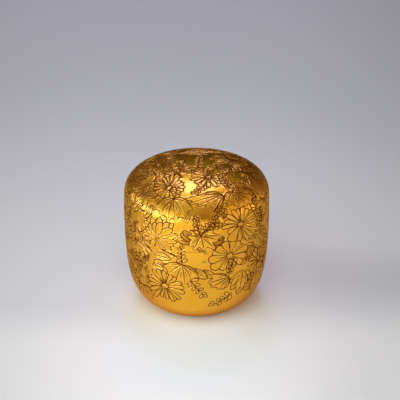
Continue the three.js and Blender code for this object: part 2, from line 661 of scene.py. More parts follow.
@dataclass
class Raceme:
    """An upright spray: a stem with pairs of long buds on short stalks, smaller towards its tip."""

    length: float = 8.0
    pairs: int = 5
    bud: float = 2.0
    bend: float = 12.0
    seed: int = 1

    def parts(self) -> list[Part]:
        """The top bud, the pairs downwards, and the stem behind them."""
        chance = np.random.default_rng(self.seed)
        stem = Lobe(0, self.length - 1, 1, self.bend).midline()
        parts = [self.bud_part(stem[-1], self.bend / 2, 0.75, chance)]
        for share in np.linspace(0.9, 0.12, self.pairs):
            for side in (-1, 1):
                root = stem[min(len(stem) - 1, round((share + 0.03 * side) * (len(stem) - 1)))]
                lean = side * (56 - 16 * share) + chance.uniform(-9, 9)
                parts.append(self.bud_part(root, lean, 1 - 0.28 * share, chance))
        parts.append(Part([Cut(stem, Pass.STEM)]))
        return parts

    def bud_part(self, root: Array, angle: float, size: float, chance: np.random.Generator) -> Part:
        """One bud with its stalk.

        Args:
            root: Its foot on the stem.
            angle: Its direction from up, clockwise, in degrees.
            size: Share of the full bud.
            chance: Source of its small differences.

        Returns:
            The bud's part.
        """
        stalk = 0.3
        reach = self.bud * size * chance.uniform(0.88, 1.12)
        shape = {"rise": 0.55, "fall": 3.0, "samples": 17}
        lobe = Lobe(angle, reach + stalk, reach * 0.62, -0.5 * angle, stalk, tuple(root), **shape)
        return Part([Cut(lobe.rim(0), Pass.BUD)], lobe.cover())


@dataclass
class Blades:
    """Long narrow blades of grass that fan out from one foot, given by angle and reach."""

    blades: Sequence[tuple[float, float]]
    width: float = 1.1
    bend: float = 12.0

    def parts(self) -> list[Part]:
        """One part for each blade."""
        parts = []
        for angle, reach in self.blades:
            lobe = Lobe(angle, reach, self.width, self.bend, rise=0.35, fall=1.6, tip=0.9)
            parts.append(Part([Cut(lobe.rim(0), Pass.BLADE)], lobe.cover()))
        return parts


@dataclass
class Strokes:
    """Short loose cuts side by side, as the engraver fills a gap with."""

    angle: float = 120.0
    count: int = 4
    length: float = 3.0
    gap: float = 0.8
    bend: float = 24.0
    stagger: float = 0.3
    shorter: float = 0.15

    def parts(self) -> list[Part]:
        """One bare cut for each stroke, every second one shorter."""
        parts = []
        for i in range(self.count):
            root = ((i - self.count / 2) * self.gap, -self.stagger * self.gap * i)
            length = self.length * (1 - self.shorter * (i % 2))
            line = Lobe(self.angle, length, 1, self.bend, root=root).midline()
            parts.append(Part([Cut(line, Pass.STROKE)]))
        return parts


Figure = Flower | FanLeaf | LobedLeaf | LongLeaf | Raceme | Blades | Strokes
Figures = list[tuple[Figure, Place]]  # front to back


def full_flower(reach: float, count: int, seed: int) -> Flower:
    """A flower seen from the front, with two staggered rows of petals.

    Args:
        reach: Length of its petals.
        count: Petals in a row.
        seed: Seed of its small differences.

    Returns:
        The flower.
    """
    petal_width = 1.9
    second_row = 0.08
    chance = np.random.default_rng(seed)
    step = 360 / count
    petals = []
    for row in range(2):
        for i in chance.permutation(count):
            angle = (i + row / 2 + chance.uniform(-0.15, 0.15)) * step
            length = reach * chance.uniform(0.84, 1.0) * (1 + second_row * row)
            petals.append((float(angle), float(length), float(petal_width * chance.uniform(0.85, 1.15))))
    return Flower(petals, seed=seed)


def round_leaf(reach: float, points: int, seed: int) -> FanLeaf:
    """A leaf that hangs from its joint, with its points spread over most of a circle.

    Args:
        reach: Length of its longest rib, straight down.
        points: Number of its points.
        seed: Seed of its small differences.

    Returns:
        The leaf.
    """
    chance = np.random.default_rng(seed)
    angles = np.linspace(82, 278, points) + chance.uniform(-5, 5, points)
    reaches = reach * (1 - 0.3 * np.abs(angles - 180) / 98) * chance.uniform(0.92, 1.05, points)
    return FanLeaf([(float(angle), float(length)) for angle, length in zip(angles, reaches)])


def racemes(*rows: tuple[float, ...]) -> Figures:
    """Racemes, each from its length, pairs, bud, bend, seed and the azimuth, arc and turn of its place."""
    return [(Raceme(*row[:5]), Place(*row[5:])) for row in rows]


def long_leaves(*rows: tuple[float, ...]) -> Figures:
    """Long leaves, each from its angle, reach, width and maybe bend, and the azimuth and arc of its place."""
    return [(LongLeaf(*row[:-2]), Place(*row[-2:])) for row in rows]


def front() -> Figures:
    """Figures of the side that faces the camera."""
    sprays = racemes(
        (7.8, 4, 2.2, 14, 2, 12, 18.4, -126), (6.8, 3, 2.3, -10, 3, -20.7, 27.8, -10),
        (10.6, 5, 2.4, 12, 4, 37.3, 24.9, 13), (8.2, 4, 2.3, 8, 5, 2.8, 43.3, -14),
        (9, 5, 2.2, 10, 6, 29.3, 56.5, -164), (8.8, 4, 2.4, 6, 7, -11.2, 58.1, -2),
        (11.2, 4, 3, -16, 8, -5.2, 65.3, 145), (10.4, 4, 3.2, 14, 9, 29.4, 75.4, -121),
        (6.4, 4, 1.8, 8, 10, 21.7, 31.5, -126), (6.8, 4, 1.8, -8, 11, 12.1, 41.7, 14),
        (9.6, 6, 1.9, 12, 12, -46.4, 62.6, -94), (11, 6, 1.9, 10, 13, 14.2, 3.3, 18),
    )
    flowers = [
        (Flower(((-50, 9, 1.8), (-23, 11, 1.8), (-36, 9, 1.7), (-3, 8.4, 1.9), (20, 6.4, 2), (39, 6.8, 2),
                 (61, 6.8, 2.2), (81, 6.8, 2), (102, 6.5, 1.7), (120, 7.4, 1.8), (137, 6.6, 1.8),
                 (160, 5.4, 2), (183, 6, 2.2), (226, 6.4, 2.2), (205, 5.8, 1.8), (250, 7.2, 1.7),
                 (285, 8, 1.9), (268, 7.4, 1.6)),
                (0.9, 1.5), seed=21), Place(-31.8, 22.7)),
        (Flower(((8, 6.5, 1.8), (28, 6.4, 1.4), (57, 7.3, 2), (77, 8.1, 2), (43, 6.6, 1.6), (109, 6.2, 2.2),
                 (132, 6.6, 1.9), (155, 7, 1.8), (178, 7.8, 2), (202, 7.7, 1.8), (227, 6.9, 1.8),
                 (250, 7.9, 1.9), (272, 8.2, 1.7), (295, 7.5, 2.3), (322, 7.2, 2), (337, 6.9, 1.7),
                 (352, 6.6, 1.6)),
                (1.3, 0.9), seed=22), Place(23.4, 13)),
        (Flower(((-49, 9.1, 2), (-27, 8.5, 2.2), (-8, 7.8, 1.8), (14, 8, 2.5), (38, 7.6, 2.6), (3, 6.5, 1.8),
                 (71, 8.8, 2.2), (-69, 8.8, 1.9), (-88, 9.3, 1.9), (56, 8.4, 1.7), (216, 8.6, 4.8),
                 (184, 8, 2.4), (249, 7, 2.4)),
                (1.4, 1.1), 26, seed=23), Place(35, 41.4)),
        (Flower(((-22, 8.2, 3.2), (14, 7.8, 3), (42, 7.8, 3.4), (-50, 8.3, 3.4), (-4, 7.4, 2.4),
                 (82, 9.8, 3.2), (64, 7.8, 2.6), (-95, 9.8, 3.9), (108, 9, 3), (132, 8.4, 3), (-72, 8.8, 2.8),
                 (-123, 9.8, 4.4), (-149, 7.6, 3.4), (158, 6.8, 2.6), (184, 6.6, 2.6)),
                (1.5, 1.4), 24, seed=24), Place(25.8, 55.4)),
        (Flower(((-43, 9.3, 2), (-2, 8, 2.3), (28, 7.7, 2.2), (-23, 8.7, 2.4), (45, 7.9, 2.2), (-65, 8.1, 2),
                 (69, 8.5, 2.2), (87, 9, 2.1), (105, 9.4, 2.4), (13, 7.4, 1.6), (-84, 8.8, 1.9),
                 (-102, 9.2, 2), (-121, 9.7, 2.2), (-143, 10.3, 2.1), (133, 9.5, 1.8), (157, 9.1, 1.8),
                 (175, 7.6, 1.8), (198, 7.8, 1.8), (145, 8.6, 1.7)),
                (1.7, 1.25), 14, seed=25), Place(-25.7, 71)),
        (Flower(((-23, 4.2, 1.5), (25, 4.4, 1.5), (60, 5.9, 1.6), (78, 7.4, 1.6), (105, 5.2, 1.5),
                 (135, 4.2, 1.5), (161, 3.8, 1.5), (195, 3.8, 1.5), (225, 4.2, 1.5), (253, 5.4, 1.6),
                 (275, 6.4, 1.6), (300, 5.2, 1.5), (0, 4.4, 1.4)),
                (1, 0.8), seed=26), Place(-64, 7.9)),
    ]
    leaves = [
        (FanLeaf(((102, 9.6), (134, 9.4), (160, 8.6), (180, 9), (208, 8.2), (238, 8.8)), 0.12),
         Place(-21.4, 28.1)),
        (FanLeaf(((100, 8.8), (121, 9.4), (139, 9.9), (158, 8.2), (182, 8.2), (201, 6.4), (226, 7.3),
                  (246, 7.2)), 0.14),
         Place(36.7, 26.1)),
        (FanLeaf(((128, 9.2), (151, 8.8), (174, 10.2), (200, 9.4), (227, 8.4), (257, 8.6)), 0.13, 18),
         Place(-11.2, 58.3)),
        (Flower(((15, 7.9, 3.4), (-11, 7, 3.4), (-42, 6.9, 3.6), (54, 9.4, 3.2), (35, 10.1, 3.2),
                 (74, 10.4, 3), (93, 9.6, 2.6), (108, 8.4, 3), (126, 8.2, 2.8), (-69, 6.8, 3.4),
                 (-92, 8.6, 3.2), (-114, 8.2, 3), (-146, 5.8, 2.8), (147, 6.6, 2.8), (172, 5, 2.8),
                 (8, 10.3, 3.6), (-18, 9.4, 3.8), (25, 10.4, 3.2), (44, 11.5, 3.4), (-52, 9.2, 3.6),
                 (-33, 9.6, 3.4)),
                (0.7, 0.6), 8, seed=28, fall=2.2), Place(-31.2, 46.9)),
        (FanLeaf(((57, 5.4), (96, 9.4), (108, 7.7), (137, 8.9), (168, 7), (206, 7.2), (227, 6.7), (270, 5.3),
                  (303, 5.6)), 0.34, 18), Place(3.1, 44)),
        (LobedLeaf(((188, 13.2, 5.2), (166, 11, 4.2), (214, 10.6, 5), (140, 8, 3.8), (240, 8.2, 3.8)), 2, 31),
         Place(38.5, 65)),
        (FanLeaf(((72, 8.6), (88, 9.6), (102, 10.2), (117, 11.4), (131, 11.4), (146, 10), (160, 9.4)),
                 0.3, 20),
         Place(36.4, 42)),
        (FanLeaf(((186, 5), (203, 6.6), (221, 7.4), (244, 9), (261, 9.6), (290, 8.6)), 0.22, 14),
         Place(25.5, 66.2)),
        (LongLeaf(132, 8.5, 3.9, -14), Place(-2.9, 59.5)),
        (FanLeaf(((216, 7.2), (231, 9.9), (248, 10.6), (262, 12.4), (272, 15.1), (283, 17.2), (294, 9)),
                 0.5, 18),
         Place(25.6, 26.4)),
        *long_leaves(
            (93, 8.9, 3.8, 18, -34.8, 56.1), (95, 6.4, 3.2, 10, -36.7, 61.6), (-42, 5, 2.4, -30, -5, 45.2),
            (-58, 6.2, 3, -30, -3.6, 46.4), (-80, 7.4, 3.4, -30, -2.6, 47.6),
            (-154, 8.1, 3.8, 26, -38.3, 32.5), (-141, 6.3, 2.9, 20, -38.4, 25.7),
            (141, 4.6, 2.4, 20, 11.4, 48.9), (100, 4.4, 2.2, -20, 11.4, 48.9),
            (25, 3.8, 2.3, 10, 11.4, 48.9),
        ),
        (Blades(((95, 8.1), (103, 9.9), (122, 9), (144, 9.1), (84, 11)), 1, 14), Place(-52, 52.7)),
        (Strokes(132, 5, 3.2, 0.9), Place(-23, 49.6)),
        (Strokes(36, 2, 1.6, 0.8), Place(5.4, 57)),
        (Strokes(60, 3, 2.4, 0.9), Place(13, 60.5)),
        (Strokes(110, 3, 2.6, 0.8), Place(44, 52)),
        (Strokes(20, 4, 2.4, 0.8), Place(0, 36.5)),
    ]
    return sprays + flowers + leaves


def undergrowth() -> Figures:
    """Small leaves, sprays and strokes in the gaps of the front, behind its larger figures."""
    leaves = (
        (175, 8.6, -60.8, 33.4), (205, 5.5, -47.5, 32.5), (188, 6.6, -41, 33.5), (214, 6.6, -34, 32.8),
        (160, 6.4, -68.2, 37.2), (30, 6.5, -62, 34.5), (-20, 6, -50.8, 31), (150, 6, -41, 41),
        (170, 6.5, -54, 41), (195, 6, -58, 46), (168, 6, -50, 47), (140, 5.5, -56, 55),
        (200, 6, -62, 58), (150, 6, -60, 64), (60, 6, -58, 70), (120, 6, -52, 70),
        (95, 6, -50, 76), (118, 5.5, -29.5, 54.2), (75, 5.6, -32, 57.5),
        (128, 7.4, 4.6, 60.5), (-70, 5.4, 21.5, 46), (-108, 5.2, 21.5, 47.6),
        (60, 4.4, 13.5, 41),
        (-30, 4.6, 17, 40), (20, 5, 20.5, 37), (200, 6, 47.1, 53.6), (160, 6, 50, 52),
        (-20, 6, 53, 70), (30, 6, 49, 64), (150, 6, 46.7, 68.1), (200, 6, 52, 60),
        (170, 6.5, 56, 64), (100, 5.5, 44, 72), (150, 5, 52, 36), (120, 5, 50.2, 33),
        (190, 6, 55, 40), (170, 6, 57, 46),
        (200, 5.4, -43.5, 59), (160, 5.4, -45, 64), (186, 5, -41.5, 68), (222, 5, -39.5, 57.5),
        (-85, 6.4, -24, 60), (70, 5, 38, 56), (110, 5, 39.5, 59),
    )
    sprays = (
        (40, 6, 6.5, 41.5), (-110, 6, -48, 58), (185, 7, 50, 56), (150, 6.4, 50, 65),
        (-30, 6, -52, 50), (170, 6, -55, 60), (200, 6.2, 60, 40), (10, 6, -66, 46),
    )
    strokes = (
        (200, -53.6, 46.2), (160, -53.9, 51.2), (140, 52, 62), (60, 54, 50), (130, -20, 52.5),
        (110, -27, 52), (35, -8, 36.5), (150, 3.5, 50),
    )
    figures: Figures = []
    for i, (angle, length, azimuth, arc) in enumerate(leaves):
        figures.append((LongLeaf(angle, length, 0.46 * length, 18 * (-1) ** i), Place(azimuth, arc)))
    for i, (angle, length, azimuth, arc) in enumerate(sprays):
        figures.append((Raceme(length, 4, 2, 10, 50 + i), Place(azimuth, arc, angle)))
    for angle, azimuth, arc in strokes:
        figures.append((Strokes(angle, 4, 2.8, 0.9), Place(azimuth, arc)))
    return figures


def sides() -> Figures:
    """Figures towards the left and right of the front."""
    left = [
        *long_leaves(
            (-146, 10.2, 4, 26, -48.3, 31), (-147, 10.2, 3.8, 26, -59.5, 31.5), (-128, 9, 3.6, 22, -55, 26),
        ),
        (Raceme(7.6, 5, 2, 10, 31), Place(-64, 44.5, 10)),
        (Raceme(7.4, 5, 2, -12, 32), Place(-60, 73, -24)),
        *long_leaves(
            (129, 5.2, 2.9, -53.6, 44.2), (-145, 8.1, 2.6, -53.6, 44.2), (-152, 9.5, 3.2, -50.7, 65.8),
            (66, 5.8, 2.4, -50.7, 65.8),
        ),
        (FanLeaf(((-144, 10.5), (-160, 9), (-188, 8.5), (-214, 7), (-236, 5.6))[::-1]), Place(-47, 75.5)),
        (full_flower(7.6, 10, 33), Place(-84, 30, 12)),
        (full_flower(7.8, 11, 34), Place(-72, 56)),
        (round_leaf(8.4, 7, 35), Place(-66, 36.5, 20)),
        (LobedLeaf(((170, 8, 4), (-128, 8.6, 3.8), (122, 8.2, 3.6), (-80, 6, 3)), 2, 36), Place(-58, 47, 10)),
        (LongLeaf(60, 8.8, 3.8), Place(-76, 16)),
        (Blades(((16, 15), (-4, 14), (32, 13), (48, 14)), 1), Place(-92, 12, 70)),
        (Blades(((20, 12), (0, 13), (40, 12)), 1, -12), Place(-60, 15, -96)),
    ]
    right = [
        (FanLeaf(((-31, 5.6), (8, 6.4), (46, 8.4), (114, 5.6), (144, 8.2), (180, 6)), 0.3, 12),
         Place(57.3, 28.6)),
        (LongLeaf(-110, 7.3, 3.3, 20), Place(64.2, 34.3)),
        (FanLeaf(((-51, 11), (-25, 10.3), (0, 6.6), (23, 5.2)), 0.34, 16), Place(62.2, 58.8)),
        (full_flower(7.6, 9, 37), Place(56.5, 63.3)),
        (FanLeaf(((120, 13), (140, 15), (166, 10), (191, 12)), 0.3, 12), Place(54.6, 68.1)),
        (Raceme(7.6, 5, 2, -10, 38), Place(60.5, 46.5, -8)),
        (Raceme(7.8, 5, 2, 12, 39), Place(66, 71.5, 16)),
        (round_leaf(8.2, 7, 40), Place(67, 37, -8)),
        (LobedLeaf(((175, 7.6, 3.8), (-130, 8.4, 3.8), (126, 8, 3.8), (-88, 6.4, 3.2)), 2, 41),
         Place(60, 50.5, 4)),
        *long_leaves(
            (-60, 8.2, 3.8, 52, 77.5), (150, 9, 4, 84, 20), (108, 8.6, 4, 54, 23),
        ),
        (full_flower(7.6, 10, 42), Place(100, 15.5, -20)),
        (full_flower(8, 11, 43), Place(80, 61.5, 10)),
        (Blades(((-24, 15), (-8, 14), (8, 15), (24, 13)), 1), Place(150, 17, 75)),
        (Blades(((-14, 13), (4, 14), (20, 12)), 1, -12), Place(-150, 15, -70)),
    ]
    return left + right


class Bunch(Enum):
    """What stands in the middle of a group of figures on the far side."""

    FLOWER = 0
    HANGING_LEAF = 1
    LOBED_LEAF = 2


def far_side() -> Figures:
    """Figures of the side away from the front, in three staggered belts and one on the crown."""
    figures: Figures = [
        (Strokes(90, 3, 14, 1.6), Place(176, 13)),
        (Strokes(-96, 4, 12, 1.4), Place(-158, 20)),
        (Strokes(82, 3, 12, 1.6), Place(152, 21)),
    ]
    belts = ((41, 100, 7), (58.5, 112, 6), (72.5, 98, 7), (24, 130, 4))
    shift, turn = 1.6, 14
    for belt, (arc, first, count) in enumerate(belts):
        for i, azimuth in enumerate(np.linspace(first, 360 - first, count)):
            place = Place(float(azimuth), arc + shift * (-1) ** i, turn * (-1) ** (i + belt))
            figures += cluster(Bunch((i + belt) % 3), place, 100 * (belt + 1) + i)
    return figures


def cluster(bunch: Bunch, place: Place, seed: int) -> Figures:
    """A group of figures about one place.

    Args:
        bunch: What stands in its middle, with leaves or racemes about it.
        place: The middle of the group.
        seed: Seed of its small differences.

    Returns:
        The figures and their places.
    """
    aside = 9.0
    if bunch is Bunch.FLOWER:
        return [
            (full_flower(8.2, 11, seed), place),
            (LongLeaf(-140, 9.4, 4.2), Place(place.azimuth - aside, place.arc + 5, place.turn)),
            (LongLeaf(60, 9, 4.2), Place(place.azimuth + aside, place.arc - 4, place.turn)),
        ]
    if bunch is Bunch.HANGING_LEAF:
        return [
            (Raceme(8.2, 5, 2, 8, seed), Place(place.azimuth, place.arc - 1, place.turn)),
            (Raceme(6.6, 4, 1.9, -10, seed + 1), Place(place.azimuth - 4, place.arc - 1, place.turn - 48)),
            (round_leaf(9.2, 7, seed), place),
        ]
    lobes = ((172, 8.6, 4.2), (-134, 8.8, 4.2), (130, 9, 4.2), (-84, 6.6, 3.2), (86, 6.8, 3.2))
    return [
        (Raceme(8.4, 5, 2, 12, seed), Place(place.azimuth + aside, place.arc + 1, place.turn + 28)),
        (LobedLeaf(lobes, 2, seed), place),
    ]


def fillers(count: int = 200, front_half: float = 44.0, front_arc: float = 13.0) -> Figures:
    """Leaves, sprays and loose strokes behind all else, on a spiral over the lid and the body.

    Args:
        count: Places of the spiral.
        front_half: Azimuth on each side of the front within which the spiral is left out.
        front_arc: Arc from which that holds.

    Returns:
        The figures and their places.
    """
    figures: Figures = []
    chance = np.random.default_rng(77)
    golden_turn = 137.508
    for i in range(count):
        arc = float(np.interp((i + 0.5) / count, [0, 0.07, 0.36, 1], [6, 24, 42, 76]))
        azimuth = (i * golden_turn + 180) % 360 - 180
        turn = float(chance.uniform(0, 360))
        if abs(azimuth) < front_half and arc > front_arc:
            continue
        options = (
            Raceme(6.8, 4, 1.9, 10, 600 + i),
            LongLeaf(0, 8.0, 3.6),
            round_leaf(6.4, 5, 600 + i),
            full_flower(5.6, 8, 600 + i),
            Strokes(40, 4, 2.6, 0.8),
        )
        figures.append((options[i % 5], Place(azimuth, arc, turn)))
    return figures


def garden() -> Figures:
    """All figures and their places."""
    return front() + sides() + undergrowth() + far_side() + fillers()


@dataclass
class Graver:
    """Cuts the figures: lays them out, hides what lies behind, and gives the lines left as runs.

    Attributes:
        chart: The map that the figures are laid on.
        half_width: Half the width of a full cut, in millimetres.
        spacing: Distance between samples of a line.
        seam_gap: How far from the seam a line stops.
        last_arc: Arc past which nothing is cut.
        sparse: Longest distance between the points that a line keeps, in millimetres.
        dense: Shortest distance between them.
        unit_bend: Bend, in radians a millimetre, at which they are a millimetre apart.
    """

    chart: Chart
    half_width: float = 0.26
    spacing: float = 0.12
    seam_gap: float = 0.3
    last_arc: float = 82.0
    sparse: float = 1.35
    dense: float = 0.43
    unit_bend: float = 0.33
    spots: Array = field(init=False)
    widths: Array = field(init=False)
    runs: list[Array] = field(init=False)

    def engrave(self, figures: Iterable[tuple[Figure, Place]]) -> None:
        """Lays all figures and keeps what shows of their lines.

        Args:
            figures: Pairs of a figure and its place, front to back.
        """
        spots, widths, lines, ranks, covers = [], [], [], [], []
        rank = line = 0
        for figure, place in figures:
            pieces, meta = [], []
            for part in figure.parts():
                rank += 1
                if part.cover is not None:
                    pieces.append(part.cover)
                    meta.append((rank, -1, None))
                for cut in part.cuts:
                    points, width = cut.sampled(self.spacing)
                    line += 1
                    pieces.append(points)
                    meta.append((rank, line, width))
            ends = np.cumsum([len(piece) for piece in pieces])
            laid = np.split(self.chart.lay(place, np.vstack(pieces)), ends[:-1])
            for flat, (at_rank, at_line, width) in zip(laid, meta):
                if width is None:
                    covers.append((at_rank, flat))
                    continue
                spots.append(flat)
                widths.append(width * self.half_width)
                lines.append(np.full(len(flat), at_line))
                ranks.append(np.full(len(flat), at_rank))
        spots, widths, lines, ranks = (np.concatenate(x) for x in (spots, widths, lines, ranks))
        shown = ~self.hidden(spots, ranks, covers)
        arc = self.chart.arc(spots)
        seam = self.chart.outline.seam_arc()
        shown &= (np.abs(arc - seam) > self.seam_gap) & (arc < self.last_arc)
        self.spots, self.widths = spots, widths
        below = arc > seam
        breaks = (lines[1:] != lines[:-1]) | (shown[1:] != shown[:-1]) | (below[1:] != below[:-1])
        runs = np.split(np.arange(len(spots)), np.flatnonzero(breaks) + 1)
        self.runs = [run for run in runs if shown[run[0]] and len(run) > 3]

    @staticmethod
    def hidden(spots: Array, ranks: Array, covers: list[tuple[int, Array]]) -> Array:
        """Which spots lie inside the cover of a part in front of their own, by the even-odd rule.

        Args:
            spots: Spots on the map, in order of rank.
            ranks: The rank of each spot's part.
            covers: Rank and closed outline of each cover.

        Returns:
            True for each spot that is hidden.
        """
        hidden = np.zeros(len(spots), bool)
        no_rise = 1e-12  # for a level edge, which crosses nothing
        for rank, cover in covers:
            first = int(np.searchsorted(ranks, rank, side="right"))
            low, high = cover.min(0), cover.max(0)
            behind = spots[first:]
            near = first + np.flatnonzero(((behind > low) & (behind < high)).all(1) & ~hidden[first:])
            if not len(near):
                continue
            x, y = spots[near].T[:, :, None]
            ax, ay = cover.T[:, None, :]
            bx, by = np.roll(cover, -1, 0).T[:, None, :]
            rise = np.where(by == ay, no_rise, by - ay)
            crossings = ((ay > y) != (by > y)) & (x < ax + (bx - ax) * (y - ay) / rise)
            hidden[near[crossings.sum(1) % 2 == 1]] = True
        return hidden

    def thinned(self, run: Array) -> tuple[Array, Array]:
        """A run with few points where it is straight and more where it bends.

        Args:
            run: Indices of its samples.

        Returns:
            Spots on the map, and the half-width at each.
        """
        spots = self.spots[run]
        step = np.diff(spots, axis=0)
        size = np.hypot(*step.T) * self.chart.scale(self.chart.arc(spots))[:-1]
        along = np.concatenate([[0], np.cumsum(size)])
        turn = np.abs(np.diff(np.unwrap(np.arctan2(step[:, 1], step[:, 0]))))
        bend = np.concatenate([turn[:1], turn, turn[-1:]]) / self.spacing
        density = np.clip(np.sqrt(bend / self.unit_bend), 1 / self.sparse, 1 / self.dense)
        cost = np.concatenate([[0], np.cumsum(np.diff(along) * (density[1:] + density[:-1]) / 2)])
        marks = np.interp(np.linspace(0, cost[-1], max(3, math.ceil(cost[-1]) + 1)), cost, along)
        return rows_at(marks, along, spots), np.interp(marks, along, self.widths[run])


@dataclass
class Nearby:
    """Finds how deep in a cut a spot lies, with the samples of all cuts sorted into square cells.

    The answer is the least of distance / half-width over the samples near by: 0 on a cut's middle line, 1
    at its edge. Spots further than `farthest` count as outside.
    """

    spots: Array
    widths: Array
    chart: Chart
    cell: float = 0.5
    farthest: float = 2.4

    def cells(self, spots: Array) -> tuple[Array, Array]:
        """Column and row of the cell of each spot."""
        column, row = np.floor(spots / self.cell).astype(np.int64).T
        return column, row

    def depth(self, targets: Array) -> tuple[Array, Array]:
        """Depth of each target, and the direction on the map from the nearest cut to it.

        Args:
            targets: Spots on the map.

        Returns:
            The depths, and unit directions.
        """
        key_span = 1 << 20  # more rows than the map has
        columns, rows = self.cells(self.spots)
        keys = columns * key_span + rows
        order = np.argsort(keys, kind="stable")
        keys, spots, widths = keys[order], self.spots[order], self.widths[order]
        best = np.full(len(targets), self.farthest)
        toward = np.zeros((len(targets), 2))
        scale = self.chart.scale(self.chart.arc(targets))
        columns, rows = self.cells(targets)
        for shift_x in (-1, 0, 1):
            for shift_y in (-1, 0, 1):
                key = (columns + shift_x) * key_span + rows + shift_y
                first, last = np.searchsorted(keys, key, "left"), np.searchsorted(keys, key, "right")
                for k in range(int((last - first).max(initial=0))):
                    live = np.flatnonzero(first + k < last)
                    near = first[live] + k
                    gap = targets[live] - spots[near]
                    distance = np.hypot(*gap.T)
                    depth = distance * scale[live] / widths[near]
                    better = depth < best[live]
                    best[live[better]] = depth[better]
                    toward[live[better]] = gap[better] / np.maximum(distance[better], TINY)[:, None]
        return best, toward


@dataclass
class MeshDraft:
    """Vertices, triangles and marks of a piece that is being built, in millimetres."""

    points: list[Array] = field(default_factory=list)
    normals: list[Array] = field(default_factory=list)
    triangles: list[Array] = field(default_factory=list)
    sides: list[Array] = field(default_factory=list)
    marks: dict[Mark, list[Array]] = field(default_factory=lambda: {mark: [] for mark in Mark})
    count: int = 0

    def add_points(self, points: Array, normals: Array, groove: Array | float = OPEN_SURFACE,
                   rub: Array | float = 0.0) -> Array:
        """Adds vertices.

        Args:
            points: Their places.
            normals: Their normals.
            groove: The groove mark of each, or of all.
            rub: The rub mark of each, or of all.

        Returns:
            Their indices.
        """
        index = np.arange(self.count, self.count + len(points))
        self.count += len(points)
        self.points.append(points)
        self.normals.append(normals)
        self.marks[Mark.GROOVE].append(np.broadcast_to(groove, len(points)))
        self.marks[Mark.RUB].append(np.broadcast_to(rub, len(points)))
        return index

    def add_triangles(self, triangles: Array, side: Side = Side.OUTER) -> None:
        """Adds triangles of one side."""
        self.triangles.append(triangles)
        self.sides.append(np.full(len(triangles), side.value))

    def add_band(self, upper: Array, lower: Array, side: Side = Side.OUTER) -> None:
        """Joins two rings of vertices.

        Args:
            upper: The ring that is above the other on an outside, and below it on an inside.
            lower: The other ring.
            side: The side that its faces belong to.
        """
        upper_next, lower_next = np.roll(upper, -1), np.roll(lower, -1)
        self.add_triangles(np.stack([upper, lower, lower_next], -1), side)
        self.add_triangles(np.stack([upper, lower_next, upper_next], -1), side)

    def add_strip(self, rings: Array, side: Side = Side.OUTER) -> None:
        """Joins each ring to the next, as add_band does with two."""
        for upper, lower in zip(rings, rings[1:]):
            self.add_band(upper, lower, side)

    def add_cap(self, ring: Array, height: float, facing: int, side: Side = Side.OUTER) -> None:
        """Closes a ring with a fan about a point on the axis.

        Args:
            ring: The ring's vertices.
            height: Height of the point.
            facing: 1 for a cap that faces up, and -1 for one that faces down.
            side: The side that its faces belong to.
        """
        pole = self.add_points(np.array([[0, 0, height]]), np.array([[0, 0, float(facing)]]))[0]
        fan = np.stack([np.full(len(ring), pole), ring, np.roll(ring, -1)], -1)
        self.add_triangles(fan[:, ::facing], side)

    def add_rings(self, section: Array, normals: Array, rub: Array | float = 0.0,
                  columns: int = COLUMNS) -> Array:
        """Adds one ring of vertices for each section point.

        Args:
            section: Radius and height of each ring.
            normals: Radial and upward parts of each ring's normal.
            rub: The rub mark of each ring, or of all.
            columns: Vertices of a ring.

        Returns:
            Indices, one row for each ring.
        """
        azimuth = round_azimuths(columns)[None]
        points = round_points(azimuth, section[:, :1], section[:, 1:]).reshape(-1, 3)
        outward = round_points(azimuth, normals[:, :1], normals[:, 1:]).reshape(-1, 3)
        rubs = np.repeat(np.broadcast_to(rub, len(section)), columns)
        return self.add_points(points, outward, OPEN_SURFACE, rubs).reshape(-1, columns)

    def make(self, name: str, materials: Sequence[bpy.types.Material]) -> bpy.types.Object:
        """Writes the mesh and links its object.

        Args:
            name: The piece's name.
            materials: One material for each side.

        Returns:
            The object, at the origin.
        """
        points, normals = np.vstack(self.points), np.vstack(self.normals)
        triangles = np.vstack(self.triangles).astype(np.int32)
        mesh = bpy.data.meshes.new(name)
        mesh.vertices.add(len(points))
        mesh.vertices.foreach_set("co", (points * MM).astype(np.float32).ravel())
        mesh.loops.add(triangles.size)
        mesh.loops.foreach_set("vertex_index", triangles.ravel())
        mesh.polygons.add(len(triangles))
        mesh.polygons.foreach_set("loop_start", np.arange(0, triangles.size, 3, dtype=np.int32))
        mesh.polygons.foreach_set("material_index", np.concatenate(self.sides).astype(np.int32))
        mesh.polygons.foreach_set("use_smooth", np.ones(len(triangles), bool))
        mesh.update(calc_edges=True)
        for mark, values in self.marks.items():
            attribute = mesh.attributes.new(mark.value, "FLOAT", "POINT")
            attribute.data.foreach_set("value", np.concatenate(values).astype(np.float32))
        for material in materials:
            mesh.materials.append(material)
        mesh.normals_split_custom_set_from_vertices(unit(normals))
        piece = bpy.data.objects.new(name, mesh)
        bpy.context.scene.collection.objects.link(piece)
        LOG.info("%s: %d triangles", name, len(triangles))
        return piece


def rounded(corners: Sequence[tuple[float, float]], radius: float, steps: int = 4) -> tuple[Array, Array]:
    """A closed section outline with its corners rounded, and its outward normals.

    Each corner becomes a quadratic curve between two points at `radius` from it along both sides.

    Args:
        corners: Radius and height of each corner, clockwise with radii to the right.
        radius: How far from a corner the rounding starts.
        steps: Spans of each rounding.

    Returns:
        Section points and normals.
    """
    furthest = 0.45  # share of a side that a rounding may take
    at = np.array(corners, float)
    first, last = (rounding_end(at, np.roll(at, shift, 0) - at, radius, furthest) for shift in (1, -1))
    t = np.linspace(0, 1, steps + 1)[None, :, None]
    points = (1 - t) ** 2 * first[:, None] + 2 * (1 - t) * t * at[:, None] + t**2 * last[:, None]
    along = unit((1 - t) * (at - first)[:, None] + t * (last - at)[:, None])
    return points.reshape(-1, 2), -to_right(along).reshape(-1, 2)


